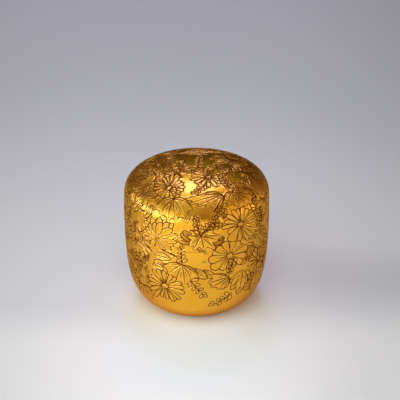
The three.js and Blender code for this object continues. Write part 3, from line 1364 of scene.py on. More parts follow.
def rounding_end(at: Array, side: Array, radius: float, furthest: float) -> Array:
    """Where the rounding of each corner starts on one side, a radius away but within a share of that side."""
    length = np.linalg.norm(side, axis=1, keepdims=True)
    return at + side / length * np.minimum(radius, furthest * length)


class Wiring:
    """Builds nodes and links in one tree."""

    def __init__(self, tree: bpy.types.NodeTree) -> None:
        """Empties the tree."""
        self.tree = tree
        tree.nodes.clear()

    def feed(self, socket: Socket, value: object) -> None:
        """Links a value to an input if it is a socket, and otherwise sets it there."""
        if isinstance(value, Socket):
            self.tree.links.new(value, socket)
        else:
            socket.default_value = value

    def node(self, kind: str, inputs: dict | None = None, **settings: object) -> bpy.types.Node:
        """Adds a node.

        Args:
            kind: Its type, without ShaderNode in front.
            inputs: Values or sockets for its inputs, by name or index.
            **settings: Its own properties.

        Returns:
            The node.
        """
        node = self.tree.nodes.new(kind if kind.startswith("NodeGroup") else "ShaderNode" + kind)
        for key, value in settings.items():
            setattr(node, key, value)
        for key, value in (inputs or {}).items():
            self.feed(node.inputs[key], value)
        return node

    def math(self, operation: str, *values: float | Socket) -> Socket:
        """A Math node's result."""
        return self.node("Math", dict(enumerate(values)), operation=operation).outputs[0]

    def times(self, first: Socket, second: float | Socket) -> Socket:
        """The product of two values."""
        return self.math("MULTIPLY", first, second)

    def scaled(self, value: Socket, factor: float, rest: float | Socket) -> Socket:
        """A value times a factor, plus the rest."""
        return self.math("MULTIPLY_ADD", value, factor, rest)

    def ramp(self, value: Socket, low: float, high: float, at_low: float = 0.0,
             at_high: float = 1.0) -> Socket:
        """A value carried smoothly from one range to another, and held at its ends."""
        inputs = {0: value, 1: low, 2: high, 3: at_low, 4: at_high}
        return self.node("MapRange", inputs, interpolation_type="SMOOTHSTEP").outputs[0]

    def mix(self, share: float | Socket, first: Colour | Socket, second: Colour | Socket,
            blend: str = "MIX") -> Socket:
        """A mix of two colours."""
        inputs = {0: share, 6: first, 7: second}
        return self.node("Mix", inputs, data_type="RGBA", blend_type=blend).outputs[2]

    def noise(self, place: Socket, scale: float, detail: float = 3.0, roughness: float = 0.5) -> Socket:
        """A noise texture's value."""
        inputs = {"Vector": place, "Scale": scale, "Detail": detail, "Roughness": roughness}
        return self.node("TexNoise", inputs).outputs["Fac"]

    def parts(self, vector: Socket) -> bpy.types.bpy_prop_collection:
        """The three parts of a vector."""
        return self.node("SeparateXYZ", {0: vector}).outputs

    def joined(self, *parts: Socket) -> Socket:
        """A vector of up to three parts."""
        return self.node("CombineXYZ", dict(enumerate(parts))).outputs[0]

    def length(self, vector: Socket) -> Socket:
        """A vector's length."""
        return self.node("VectorMath", {0: vector}, operation="LENGTH").outputs["Value"]


def shader_group(name: str, inputs: dict[str, float],
                 outputs: Sequence[str]) -> tuple[bpy.types.NodeTree, Wiring]:
    """An empty node group with named sockets.

    Args:
        name: The group's name.
        inputs: Its number inputs and their first values; a vector input Place comes before them.
        outputs: Names of its number outputs.

    Returns:
        The group, and the wiring to fill it with.
    """
    group = bpy.data.node_groups.new(name, "ShaderNodeTree")
    wiring = Wiring(group)
    group.interface.new_socket("Place", in_out="INPUT", socket_type="NodeSocketVector")
    for key, value in inputs.items():
        group.interface.new_socket(key, in_out="INPUT", socket_type="NodeSocketFloat").default_value = value
    for key in outputs:
        group.interface.new_socket(key, in_out="OUTPUT", socket_type="NodeSocketFloat")
    return group, wiring


def hand_marks_group() -> bpy.types.NodeTree:
    """Traces of handling: faint unevenness of the metal and hairline scratches, as a height and a roughness.

    The scratches are noise stretched twelvefold along one direction, kept only at its crests.
    """
    group, wire = shader_group("hand_marks", {"Unevenness": 1.0, "Scratches": 1.0}, ("Height", "Haze"))
    source = wire.node("NodeGroupInput").outputs
    place = source["Place"]
    soft = wire.noise(place, scale=95.0, detail=2.0, roughness=0.45)
    fine = wire.noise(place, scale=2600.0, detail=3.0, roughness=0.6)
    lines = []
    for turn, stretch in (((0.3, 0.9, 0.5), (300, 3600, 3600)), ((1.2, 0.2, 2.1), (3200, 260, 3200))):
        along = wire.node("Mapping", {"Vector": place, "Rotation": turn, "Scale": stretch}).outputs[0]
        lines.append(wire.noise(along, scale=1.0, detail=1.0))
    scratch = wire.ramp(wire.math("MAXIMUM", *lines), 0.66, 0.8)
    lift = wire.times(wire.math("SUBTRACT", soft, 0.5), source["Unevenness"])
    nick_depth, fine_height, fine_haze, scratch_haze = 0.12, 0.02, 0.5, 0.4
    nick = wire.times(scratch, wire.times(source["Scratches"], nick_depth))
    height = wire.math("SUBTRACT", wire.scaled(fine, fine_height, lift), nick)
    haze = wire.scaled(scratch, scratch_haze, wire.times(wire.math("SUBTRACT", fine, 0.5), fine_haze))
    wire.node("NodeGroupOutput", {"Height": height, "Haze": haze})
    return group


def turning_group() -> bpy.types.NodeTree:
    """Marks of the lathe: fine rings about the Z axis, as a height.

    Noise is read at the radius and height alone, with a trace of the azimuth so that the rings break here
    and there.
    """
    group, wire = shader_group("turning_marks", {"Rings per metre": 5200.0}, ("Height",))
    source = wire.node("NodeGroupInput").outputs
    x, y, z = wire.parts(source["Place"])
    rings, breaks_per_metre = source["Rings per metre"], 40.0
    broken = wire.times(wire.math("ADD", x, y), breaks_per_metre)
    spot = wire.joined(wire.times(wire.length(wire.joined(x, y)), rings), wire.times(z, rings), broken)
    wire.node("NodeGroupOutput", {"Height": wire.noise(spot, scale=1.0, detail=2.0, roughness=0.6)})
    return group


def rub_group() -> bpy.types.NodeTree:
    """Wear along edges: the rub mark broken up by noise, as a mask."""
    group, wire = shader_group("rubbed_edge", {"Rub": 0.0}, ("Mask",))
    source = wire.node("NodeGroupInput").outputs
    breaking = 0.9
    grain = wire.noise(source["Place"], scale=260.0, detail=3.0, roughness=0.6)
    broken = wire.scaled(grain, breaking, -breaking / 2)
    wire.node("NodeGroupOutput", {"Mask": wire.ramp(wire.math("ADD", source["Rub"], broken), 0.45, 1.05)})
    return group


@dataclass(frozen=True)
class Groups:
    """The shared node groups."""

    marks: bpy.types.NodeTree
    turning: bpy.types.NodeTree
    rub: bpy.types.NodeTree

    @staticmethod
    def build() -> "Groups":
        """Builds each group once."""
        return Groups(hand_marks_group(), turning_group(), rub_group())


class Surface:
    """A material under construction: its wiring, shader and object coordinates."""

    def __init__(self, name: str) -> None:
        """Adds the material with a Principled shader."""
        self.material = bpy.data.materials.new(name)
        self.material.use_nodes = True
        self.wire = Wiring(self.material.node_tree)
        self.shader = self.wire.node("BsdfPrincipled")
        self.wire.node("OutputMaterial", {"Surface": self.shader.outputs[0]})
        self.place = self.wire.node("TexCoord").outputs["Object"]

    def mark(self, mark: Mark) -> Socket:
        """A vertex mark's value."""
        return self.wire.node("Attribute", attribute_name=mark.value).outputs["Fac"]

    def group(self, tree: bpy.types.NodeTree, **inputs: float | Socket) -> bpy.types.bpy_prop_collection:
        """A shared group's outputs, with object coordinates as its place and underscores for spaces."""
        values = {key.replace("_", " "): value for key, value in inputs.items()}
        return self.wire.node("Group", {"Place": self.place, **values}, node_tree=tree).outputs

    def feed(self, **inputs: object) -> None:
        """Sets or links the shader's inputs, with underscores for spaces."""
        for key, value in inputs.items():
            self.wire.feed(self.shader.inputs[key.replace("_", " ")], value)

    def bump(self, height: Socket, distance: float) -> None:
        """Feeds the normal from a height, whose full step is a distance in metres."""
        self.feed(Normal=self.wire.node("Bump", {"Height": height, "Distance": distance}).outputs[0])


@dataclass(frozen=True)
class Gilding:
    """Fire-gilt metal: warm gold, deeper where it is thick, with dark patina in the cuts, and paler gold
    painted on the crests of the burrs as a highlight.

    Each span holds two values of a noise, a mark or the facing, and the shares at both.
    """

    gold: Colour = (0.93, 0.445, 0.006, 1)
    deep_gold: Colour = (0.86, 0.37, 0.004, 1)
    patina: Colour = (0.105, 0.014, 0.001, 1)
    # paler gold painted on the crests of the burrs: a painted highlight
    burr: Colour = (1.0, 0.62, 0.16, 1)
    rubbed: Colour = (0.78, 0.62, 0.4, 1)
    tint: Colour = (0.7, 0.5, 0.14, 1)
    clouds: Span = (0.32, 0.72, 0.0, 0.6)
    # where on the burr the painted highlight rises and falls, and its share
    crest_rise: Span = (1.0, 1.35)
    crest_fall: Span = (2.0, 1.4, 0.0, 0.28)
    cut: Span = (1.22, 0.42)
    breaks: Span = (0.2, 0.5, 0.72, 1.0)
    coat: Span = (0.35, 0.8, 0.6, 0.2)
    rub_share: float = 0.7
    roughness: float = 0.27
    haze: float = 0.09
    patina_roughness: float = 0.3
    patina_dullness: float = 0.3
    coat_roughness: float = 0.18
    relief: float = 0.00009

    def build(self, name: str, groups: Groups) -> bpy.types.Material:
        """Makes the material.

        Args:
            name: Its name.
            groups: The shared node groups.

        Returns:
            The material.
        """
        surface = Surface(name)
        wire = surface.wire
        groove = surface.mark(Mark.GROOVE)
        cloud = wire.noise(surface.place, scale=62.0, detail=4.0, roughness=0.55)
        colour = wire.mix(wire.ramp(cloud, *self.clouds), self.gold, self.deep_gold)
        # a painted highlight of paler gold on the crest of each burr
        crest = wire.times(wire.ramp(groove, *self.crest_rise), wire.ramp(groove, *self.crest_fall))
        colour = wire.mix(crest, colour, self.burr)
        rub = surface.group(groups.rub, Rub=surface.mark(Mark.RUB))["Mask"]
        colour = wire.mix(wire.times(rub, self.rub_share), colour, self.rubbed)
        breaks = wire.ramp(wire.noise(surface.place, scale=420.0, detail=2.0), *self.breaks)
        dark = wire.times(wire.ramp(groove, *self.cut), breaks)
        colour = wire.mix(dark, colour, self.patina)
        marks = surface.group(groups.marks, Unevenness=1.0, Scratches=0.6)
        rough = wire.scaled(marks["Haze"], self.haze, self.roughness)
        rough = wire.scaled(dark, self.patina_roughness, rough)
        bare = wire.scaled(dark, -self.patina_dullness, 1.0)
        surface.feed(Base_Color=colour, Roughness=rough, Metallic=bare, Specular_Tint=self.tint)
        facing = wire.node("LayerWeight", {"Blend": 0.5}).outputs["Facing"]
        coat = wire.times(wire.math("SUBTRACT", 1.0, dark), wire.ramp(facing, *self.coat))
        surface.feed(Coat_Weight=coat, Coat_Roughness=self.coat_roughness, Coat_IOR=1.5)
        surface.bump(marks["Height"], self.relief)
        return surface.material


@dataclass(frozen=True)
class BarePewter:
    """Bare pewter as the lathe left it: grey, softly dull, with fine rings and a darker bloom."""

    bright: Colour = (0.58, 0.57, 0.54, 1)
    bloom: Colour = (0.36, 0.35, 0.33, 1)
    rubbed: Colour = (0.74, 0.73, 0.7, 1)
    clouds: Span = (0.38, 0.7)
    bloom_share: float = 0.75
    bloom_roughness: float = 0.12
    bloom_dullness: float = 0.25
    bareness: float = 0.75
    roughness: float = 0.36
    haze: float = 0.12
    ring_height: float = 0.16
    relief: float = 0.0001

    def build(self, name: str, groups: Groups) -> bpy.types.Material:
        """Makes the material.

        Args:
            name: Its name.
            groups: The shared node groups.

        Returns:
            The material.
        """
        surface = Surface(name)
        wire = surface.wire
        cloud = wire.ramp(wire.noise(surface.place, scale=110.0, detail=5.0, roughness=0.6), *self.clouds)
        colour = wire.mix(wire.times(cloud, self.bloom_share), self.bright, self.bloom)
        rub = surface.group(groups.rub, Rub=surface.mark(Mark.RUB))["Mask"]
        colour = wire.mix(rub, colour, self.rubbed)
        marks = surface.group(groups.marks, Unevenness=0.5, Scratches=1.0)
        rings = surface.group(groups.turning, Rings_per_metre=5200.0)["Height"]
        rough = wire.scaled(marks["Haze"], self.haze, self.roughness)
        rough = wire.scaled(cloud, self.bloom_roughness, rough)
        bare = wire.scaled(cloud, -self.bloom_dullness, self.bareness)
        surface.feed(Base_Color=colour, Roughness=rough, Metallic=bare)
        surface.bump(wire.scaled(rings, self.ring_height, marks["Height"]), self.relief)
        return surface.material


@dataclass(frozen=True)
class Paper:
    """The pale paper that the caddy stands on, with light and shade painted into its colour: near white in
    front, greyer towards the back as a painted falloff of light.

    The share of the near colour falls behind the knee as a bell curve over the distance. The painted
    brightness is the product of the spans, each of which holds two places in metres, or slopes, and the
    factors at both: a painted falloff of light to the left and right, a painted patch of light round the
    caddy's foot, painted light that grows towards the front, and a painted shadow to the caddy's right. A
    cooler tint of light is painted in front.
    """

    near: Colour = (0.738, 0.758, 0.668, 1)
    far: Colour = (0.444, 0.469, 0.441, 1)
    white: Colour = (1, 1, 1, 1)
    fibre: Colour = (0.4, 0.4, 0.4, 1)
    # painted cooler tint of light on the paper in front of the caddy
    painted_light_tint: Colour = (0.99, 1.07, 1.26, 1)
    front_middle: tuple[float, float, float] = (0.0, -0.045, 0.0)
    front_reach: Span = (0.012, 0.05, 1.0, 0.0)
    near_y: float = -0.045
    knee_y: float = -0.008
    knee: float = 0.59
    fade: float = 0.17
    fan: float = 0.28
    # painted light: falloff to the left and right, a brighter patch round the caddy, more light towards the
    # front
    left: Span = (-0.5, -0.08, 0.78, 1.0)
    right: Span = (0.04, 0.4, 1.0, 0.75)
    painted_light_pool: Span = (0.024, 0.045, 1.12, 1.0)
    painted_front_light: Span = (-0.085, -0.17, 1.0, 1.4)
    # painted shadow to the caddy's right
    shade_y: float = 0.01
    shade_depth: Span = (0.0, 0.042, 0.17, 0.0)
    shade_start: Span = (0.036, 0.066)
    fibre_share: Span = (0.3, 0.7, 0.0, 0.03)
    roughness: Span = (0.3, 0.7, 0.42, 0.5)
    gloss: float = 0.4
    relief: float = 0.00004

    def build(self, name: str) -> bpy.types.Material:
        """Makes the material.

        Args:
            name: Its name.

        Returns:
            The material.
        """
        surface = Surface(name)
        wire = surface.wire
        x, y, _ = wire.parts(surface.place)
        # the near colour is lighter: a painted falloff of light towards the back
        colour = wire.mix(self.near_share(wire, y), self.far, self.near)
        light = self.brightness(wire, surface.place, x, y)
        colour = wire.mix(1.0, colour, wire.joined(light, light, light), "MULTIPLY")
        # painted cooler tint of light on the paper in front of the caddy
        aim = {0: surface.place, 1: self.front_middle}
        before = wire.node("VectorMath", aim, operation="DISTANCE").outputs["Value"]
        tint = wire.mix(wire.ramp(before, *self.front_reach), self.white, self.painted_light_tint)
        colour = wire.mix(1.0, colour, tint, "MULTIPLY")
        grain = wire.noise(surface.place, scale=900.0, detail=3.0, roughness=0.6)
        colour = wire.mix(wire.ramp(grain, *self.fibre_share), colour, self.fibre)
        rough = wire.ramp(grain, *self.roughness)
        surface.feed(Base_Color=colour, Roughness=rough, Specular_IOR_Level=self.gloss)
        surface.bump(grain, self.relief)
        return surface.material

    def near_share(self, wire: Wiring, y: Socket) -> Socket:
        """Share of the near colour, which paints a falloff of light towards the back.

        Args:
            wire: The material's wiring.
            y: Distance towards the back.

        Returns:
            The share.
        """
        behind = wire.math("MAXIMUM", wire.math("SUBTRACT", y, self.knee_y), 0.0)
        fall = wire.math("POWER", wire.math("DIVIDE", behind, self.fade), 2.0)
        bell = wire.times(wire.math("POWER", math.e, wire.times(fall, -1.0)), self.knee)
        return wire.math("ADD", bell, wire.ramp(y, self.knee_y, self.near_y, 0.0, 1.0 - self.knee))

    def brightness(self, wire: Wiring, place: Socket, x: Socket, y: Socket) -> Socket:
        """Painted light and shade over the paper.

        Args:
            wire: The material's wiring.
            place: The place on the paper.
            x: Its distance to the right.
            y: Its distance towards the back.

        Returns:
            The factor.
        """
        slope = wire.math("DIVIDE", x, wire.math("ADD", y, self.fan))
        # painted falloff of light to the left and right
        light = wire.times(wire.ramp(slope, *self.left), wire.ramp(slope, *self.right))
        # painted patch of light round the caddy's foot
        light = wire.times(light, wire.ramp(wire.length(place), *self.painted_light_pool))
        # painted light that grows stronger towards the front
        light = wire.times(light, wire.ramp(y, *self.painted_front_light))
        # painted shadow to the caddy's right
        off = wire.math("ABSOLUTE", wire.math("SUBTRACT", y, self.shade_y))
        shade = wire.times(wire.ramp(off, *self.shade_depth), wire.ramp(x, *self.shade_start))
        return wire.times(light, wire.math("SUBTRACT", 1.0, shade))


@dataclass
class Caddy:
    """What all sub-assemblies share: the outline, the engraved map, the finishes and the fits."""

    outline: Outline
    chart: Chart
    graver: Graver
    gilt: bpy.types.Material
    pewter: bpy.types.Material
    lip: float = 0.13
    shell_wall: float = 1.2
    edge_round: float = 0.12
    mouth_turn: float = 0.08
    mouth_reach: float = 3.0
    cut_height: Curve = ((0, 1, 1.8), (-0.17, 0.022, 0.0))
    cut_tilt: Curve = ((0, 0.15, 1, 1.5, 2.3), (0, 0.35, 0.5, -0.28, 0))

    def inside(self, arcs: Array) -> tuple[Array, Array]:
        """Section and normals of the bare inside of a shell, a wall's thickness within the outline."""
        normal = self.outline.facing(arcs)
        return self.outline.spot(arcs) - normal * (self.shell_wall - self.outline.inset), -normal

    def shell_skin(self, draft: MeshDraft, first_arc: float, last_arc: float) -> tuple[Array | None, Array]:
        """Adds the engraved outside between two arcs.

        Ribbons of vertices follow each cut: its middle line, its two edges and the foot of its burr on both
        sides. A staggered net fills the open surface between, and a triangulation of the flat map joins
        them all.

        Args:
            draft: The draft to add to.
            first_arc: Arc of the upper rim, or 0 for the crown's middle.
            last_arc: Arc of the lower rim.

        Returns:
            Vertex indices of the upper rim, or None, and of the lower rim.
        """
        rims = [arc for arc in (first_arc, last_arc) if arc > 0]
        points = [self.chart.flat(round_azimuths(COLUMNS), np.full(COLUMNS, arc)) for arc in rims]
        edges = [closed_links(COLUMNS * i, COLUMNS) for i in range(len(rims))]
        count = COLUMNS * len(rims)
        middles, widths = [], []
        for run in self.graver.runs:
            arc = float(self.chart.arc(self.graver.spots[run[:1]])[0])
            if not first_arc <= arc <= last_arc:
                continue
            middle, width = self.graver.thinned(run)
            middles.append(self.graver.spots[run])
            widths.append(self.graver.widths[run])
            ribbon, links = self.ribbon(middle, width)
            points.append(self.held_between(rims, ribbon))
            edges.append(links + count)
            count += len(ribbon)
        near = Nearby(np.vstack(middles), np.concatenate(widths), self.chart)
        points.append(self.open_net(near, first_arc, last_arc))
        flat, triangles, sources = triangulated(np.vstack(points), np.vstack(edges))
        place_of = {source: i for i, group in enumerate(sources) for source in group}
        rings = [np.array([place_of[COLUMNS * i + j] for j in range(COLUMNS)]) for i in range(len(rims))]
        a, b, c = (flat[triangles[:, i]] for i in range(3))
        area = (b - a)[:, 0] * (c - a)[:, 1] - (b - a)[:, 1] * (c - a)[:, 0]
        triangles[area < 0] = triangles[area < 0][:, ::-1]
        smallest = 1e-10
        triangles = triangles[(np.abs(area) > smallest) & self.between(rims, (a + b + c) / 3)]
        used = np.unique(np.concatenate([triangles.ravel(), *rings]))
        renumbered = np.zeros(len(flat), np.int64)
        renumbered[used] = np.arange(len(used))
        flat, triangles, rings = flat[used], renumbered[triangles], [renumbered[ring] for ring in rings]
        self.raise_skin(draft, flat, triangles, near)
        base = draft.count - len(flat)
        rings = [ring + base for ring in rings]
        return (rings[0], rings[1]) if first_arc > 0 else (None, rings[0])

    def held_between(self, rims: Sequence[float], spots: Array, margin: float = 0.03) -> Array:
        """Spots of a cut, with those past a rim brought back to just inside it.

        Args:
            rims: Arcs of one or two rims.
            spots: Spots on the map.
            margin: How far inside the rim, in millimetres.

        Returns:
            The spots.
        """
        arc = self.chart.arc(spots)
        held = np.clip(arc, rims[0] + margin if len(rims) > 1 else 0.0, rims[-1] - margin)
        return np.where((held != arc)[:, None], self.chart.flat(bearing_of(spots), held), spots)

    def between(self, rims: Sequence[float], spots: Array) -> Array:
        """Which spots lie inside the last rim and outside the one before it, each a polygon.

        Args:
            rims: Arcs of one or two rims.
            spots: Spots on the map.

        Returns:
            True for each spot between the rims.
        """
        half = math.pi / COLUMNS
        bearing = bearing_of(spots) % (2 * half)
        side = math.cos(half) / np.cos(bearing - half)
        reach = np.linalg.norm(self.chart.flat(np.zeros(len(rims)), np.array(rims)), axis=1)
        radius = np.linalg.norm(spots, axis=1)
        inside = radius < reach[-1] * side
        return inside & (radius > reach[0] * side) if len(rims) > 1 else inside

    def ribbon(self, middle: Array, width: Array) -> tuple[Array, Array]:
        """Vertices and links along one cut.

        Args:
            middle: Spots of its middle line on the map.
            width: Half-width at each, in millimetres.

        Returns:
            Five rows of spots and the two end caps, and the links of the middle line and both edges.
        """
        burr_foot = 1.8
        along = unit(np.gradient(middle, axis=0))
        reach = (width / self.chart.scale(self.chart.arc(middle)))[:, None]
        rows = [middle + to_right(along) * reach * side for side in (0, -1, 1, -burr_foot, burr_foot)]
        caps = np.stack([middle[0] - along[0] * reach[0], middle[-1] + along[-1] * reach[-1]])
        n = len(middle)
        chain = np.stack([np.arange(n - 1), np.arange(1, n)], -1)
        ends = [(5 * n, n), (5 * n, 2 * n), (5 * n + 1, 2 * n - 1), (5 * n + 1, 3 * n - 1)]
        return np.vstack([*rows, caps]), np.vstack([chain, chain + n, chain + 2 * n, ends])

    def open_net(self, near: Nearby, first_arc: float, last_arc: float, spacing: float = 1.0) -> Array:
        """Staggered spots over the open surface, kept off the cuts and the rims.

        Args:
            near: The cuts.
            first_arc: Arc of the upper rim.
            last_arc: Arc of the lower rim.
            spacing: Distance between spots, in millimetres.

        Returns:
            Spots on the map.
        """
        rows = [np.zeros((1, 2))] if first_arc == 0 else []
        first_gap, last_gap, row_gap = 0.7 * spacing, 0.6 * spacing, 0.87 * spacing
        arcs = np.arange(first_arc + first_gap, last_arc - last_gap, row_gap)
        for i, arc in enumerate(arcs):
            radius = float(self.outline.spot(arc)[0])
            count = max(5, round(2 * math.pi * radius / spacing))
            azimuth = (np.arange(count) + 0.5 * (i % 2)) * 2 * math.pi / count
            rows.append(self.chart.flat(azimuth, np.full(count, arc)))
        spots = np.vstack(rows)
        return spots[near.depth(spots)[0] >= near.farthest]

    def raise_skin(self, draft: MeshDraft, flat: Array, triangles: Array, near: Nearby) -> None:
        """Lifts the flat map onto the surface, with cuts sunk, burrs raised and the body's mouth turned in.

        The height over the depth in a cut is a straight line from its bottom at 0 to the burr's crest at 1
        and down to the surface at 1.8, and the normals lean by a like line. Below the seam the wall stands
        inside the outline by an amount that dies away with the distance.

        Args:
            draft: The draft to add to.
            flat: Spots of the vertices on the map.
            triangles: The triangles.
            near: The cuts.
        """
        depth, away = near.depth(flat)
        arc = self.chart.arc(flat)
        bearing = bearing_of(flat)
        section = self.outline.spot(arc)
        normal = self.outline.facing(arc)
        below_seam = arc - self.outline.seam_arc()
        turn_in = np.where(below_seam > 0, np.exp(-np.maximum(below_seam, 0) / self.mouth_reach), 0)
        height = np.interp(depth, *self.cut_height) - self.mouth_turn * turn_in
        points = round_points(bearing, *section.T) + round_points(bearing, *normal.T) * height[:, None]
        tilt = np.interp(depth, *self.cut_tilt)
        outward = np.stack([np.sin(bearing), -np.cos(bearing)], -1)
        sideways = np.stack([np.cos(bearing), np.sin(bearing)], -1)
        down, right = (away * outward).sum(1) * tilt, (away * sideways).sum(1) * tilt
        down += self.mouth_turn / self.mouth_reach * turn_in
        lean = round_points(bearing, normal[:, 1], -normal[:, 0]) * down[:, None]
        lean += np.stack([np.cos(bearing), np.sin(bearing), 0 * bearing], -1) * right[:, None]
        normals = round_points(bearing, *normal.T) - lean
        index = draft.add_points(points, normals, np.minimum(depth, OPEN_SURFACE))
        draft.add_triangles(index[triangles])


@dataclass
class Lid:
    """The engraved lid."""

    caddy: Caddy
    lining_rings: int = 28

    def build_shell(self) -> bpy.types.Object:
        """Makes the lid: engraved crown and skirt, a narrow lip at the seam, and a bare turned inside.

        Returns:
            The piece.
        """
        caddy, outline = self.caddy, self.caddy.outline
        draft = MeshDraft()
        seam = outline.seam_arc()
        _, rim = caddy.shell_skin(draft, 0, seam - caddy.lip)
        inner, inner_normal = caddy.inside(np.linspace(seam, 0, self.lining_rings)[:-1])
        radius = outline.spot(seam)[0]
        inner[0, 1] = outline.seam_height + caddy.edge_round
        rows = np.vstack([
            [radius - caddy.lip, outline.seam_height],
            [inner[0, 0] + caddy.edge_round, outline.seam_height],
            inner,
        ])
        rub = np.zeros(len(rows))
        rub[:2] = 1
        rings = draft.add_rings(rows, np.vstack([[0, -1], [0, -1], inner_normal]), rub)
        draft.add_strip(np.vstack([rim, rings[:2]]))
        draft.add_strip(rings[1:], Side.BARE)
        draft.add_cap(rings[-1], outline.overall_height - caddy.shell_wall, -1, Side.BARE)
        return draft.make("engraved_lid", [caddy.gilt, caddy.pewter])


def ring_piece(name: str, corners: Sequence[tuple[float, float]], radius: float,
               material: bpy.types.Material) -> bpy.types.Object:
    """A turned ring of one section.

    Args:
        name: The piece's name.
        corners: Radius and height of the section's corners, clockwise with radii to the right.
        radius: Rounding of its edges.
        material: Its finish.

    Returns:
        The piece.
    """
    section, normals = rounded(corners, radius)
    draft = MeshDraft()
    longest = 1.2 * radius  # a span of a rounding is no longer
    spans = np.linalg.norm(np.diff(np.vstack([section, section[:1]]), axis=0), axis=1)
    rub = ((spans < longest) | (np.roll(spans, 1) < longest)).astype(float)
    rings = draft.add_rings(section, normals, rub)
    draft.add_strip(np.vstack([rings, rings[:1]]))
    return draft.make(name, [material])


@dataclass
class Body:
    """The engraved body shell."""

    caddy: Caddy
    foot_face: float = 19.236
    foot_edge: float = 0.3
    lining_rings: int = 36

    def build_shell(self) -> bpy.types.Object:
        """Makes the body: engraved wall and heel, flat foot edge, bare turned inside and a lip at the seam.

        Returns:
            The piece.
        """
        caddy, outline = self.caddy, self.caddy.outline
        draft = MeshDraft()
        seam = outline.seam_arc()
        end = float(outline.arc[-1])
        top, foot = caddy.shell_skin(draft, seam + caddy.lip, end - caddy.edge_round)
        inner, inner_normal = caddy.inside(np.linspace(end, seam, self.lining_rings))
        keep = inner[:, 1] > outline.foot_lift + self.foot_edge
        inner, inner_normal = inner[keep], inner_normal[keep]
        inner[-1, 1] = outline.seam_height - caddy.edge_round
        radius = outline.spot(seam)[0]
        rows = np.vstack([
            [outline.foot_radius - caddy.edge_round, outline.foot_lift],
            [self.foot_face + caddy.edge_round, outline.foot_lift],
            [self.foot_face, outline.foot_lift + caddy.edge_round],
            inner,
            [inner[-1, 0] + caddy.edge_round, outline.seam_height],
            [radius - caddy.lip, outline.seam_height],
        ])
        normals = np.vstack([[0, -1], [0, -1], inner_normal[0], inner_normal, [0, 1], [0, 1]])
        rub = np.zeros(len(rows))
        rub[[0, -2, -1]] = 1
        rings = draft.add_rings(rows, normals, rub)
        draft.add_strip(np.vstack([foot, rings[:3]]))
        draft.add_strip(rings[2:-1], Side.BARE)
        draft.add_strip(np.vstack([rings[-2:], top]))
        return draft.make("engraved_body", [caddy.gilt, caddy.pewter])


@dataclass
class Collar:
    """The turned collar in the mouth, and the ring inside the lid that runs on it."""

    caddy: Caddy
    wall: float = 0.9
    ledge_drop: float = 0.3
    lead: float = 0.35
    guide_wall: float = 0.8
    slide: float = 0.1

    def build(self) -> tuple[bpy.types.Object, bpy.types.Object]:
        """Makes both rings.

        Returns:
            The collar and the guide ring.
        """
        seam = self.caddy.outline.seam_height
        low, high = box_mm("mouth_collar")
        seat, ledge = high[0], seam - self.ledge_drop
        guide_low, guide_high = box_mm("lid_guide_ring")
        guide_outer = guide_high[0]
        guide_inner = guide_outer - self.guide_wall
        neck = guide_inner - self.slide
        inner, step = neck - self.wall, ledge - self.wall
        collar = ring_piece(
            "turned_collar",
            [(neck, high[2] - self.lead), (neck, ledge), (seat, ledge), (seat, low[2]),
             (seat - self.wall, low[2]), (seat - self.wall, step), (inner, step), (inner, high[2]),
             (neck - self.lead, high[2])],
            self.caddy.edge_round,
            self.caddy.pewter,
        )
        guide = ring_piece(
            "turned_guide_ring",
            [(guide_outer, guide_high[2]), (guide_outer, guide_low[2]),
             (guide_inner + self.lead, guide_low[2]), (guide_inner, guide_low[2] + self.lead),
             (guide_inner, guide_high[2])],
            self.caddy.edge_round,
            self.caddy.pewter,
        )
        return collar, guide


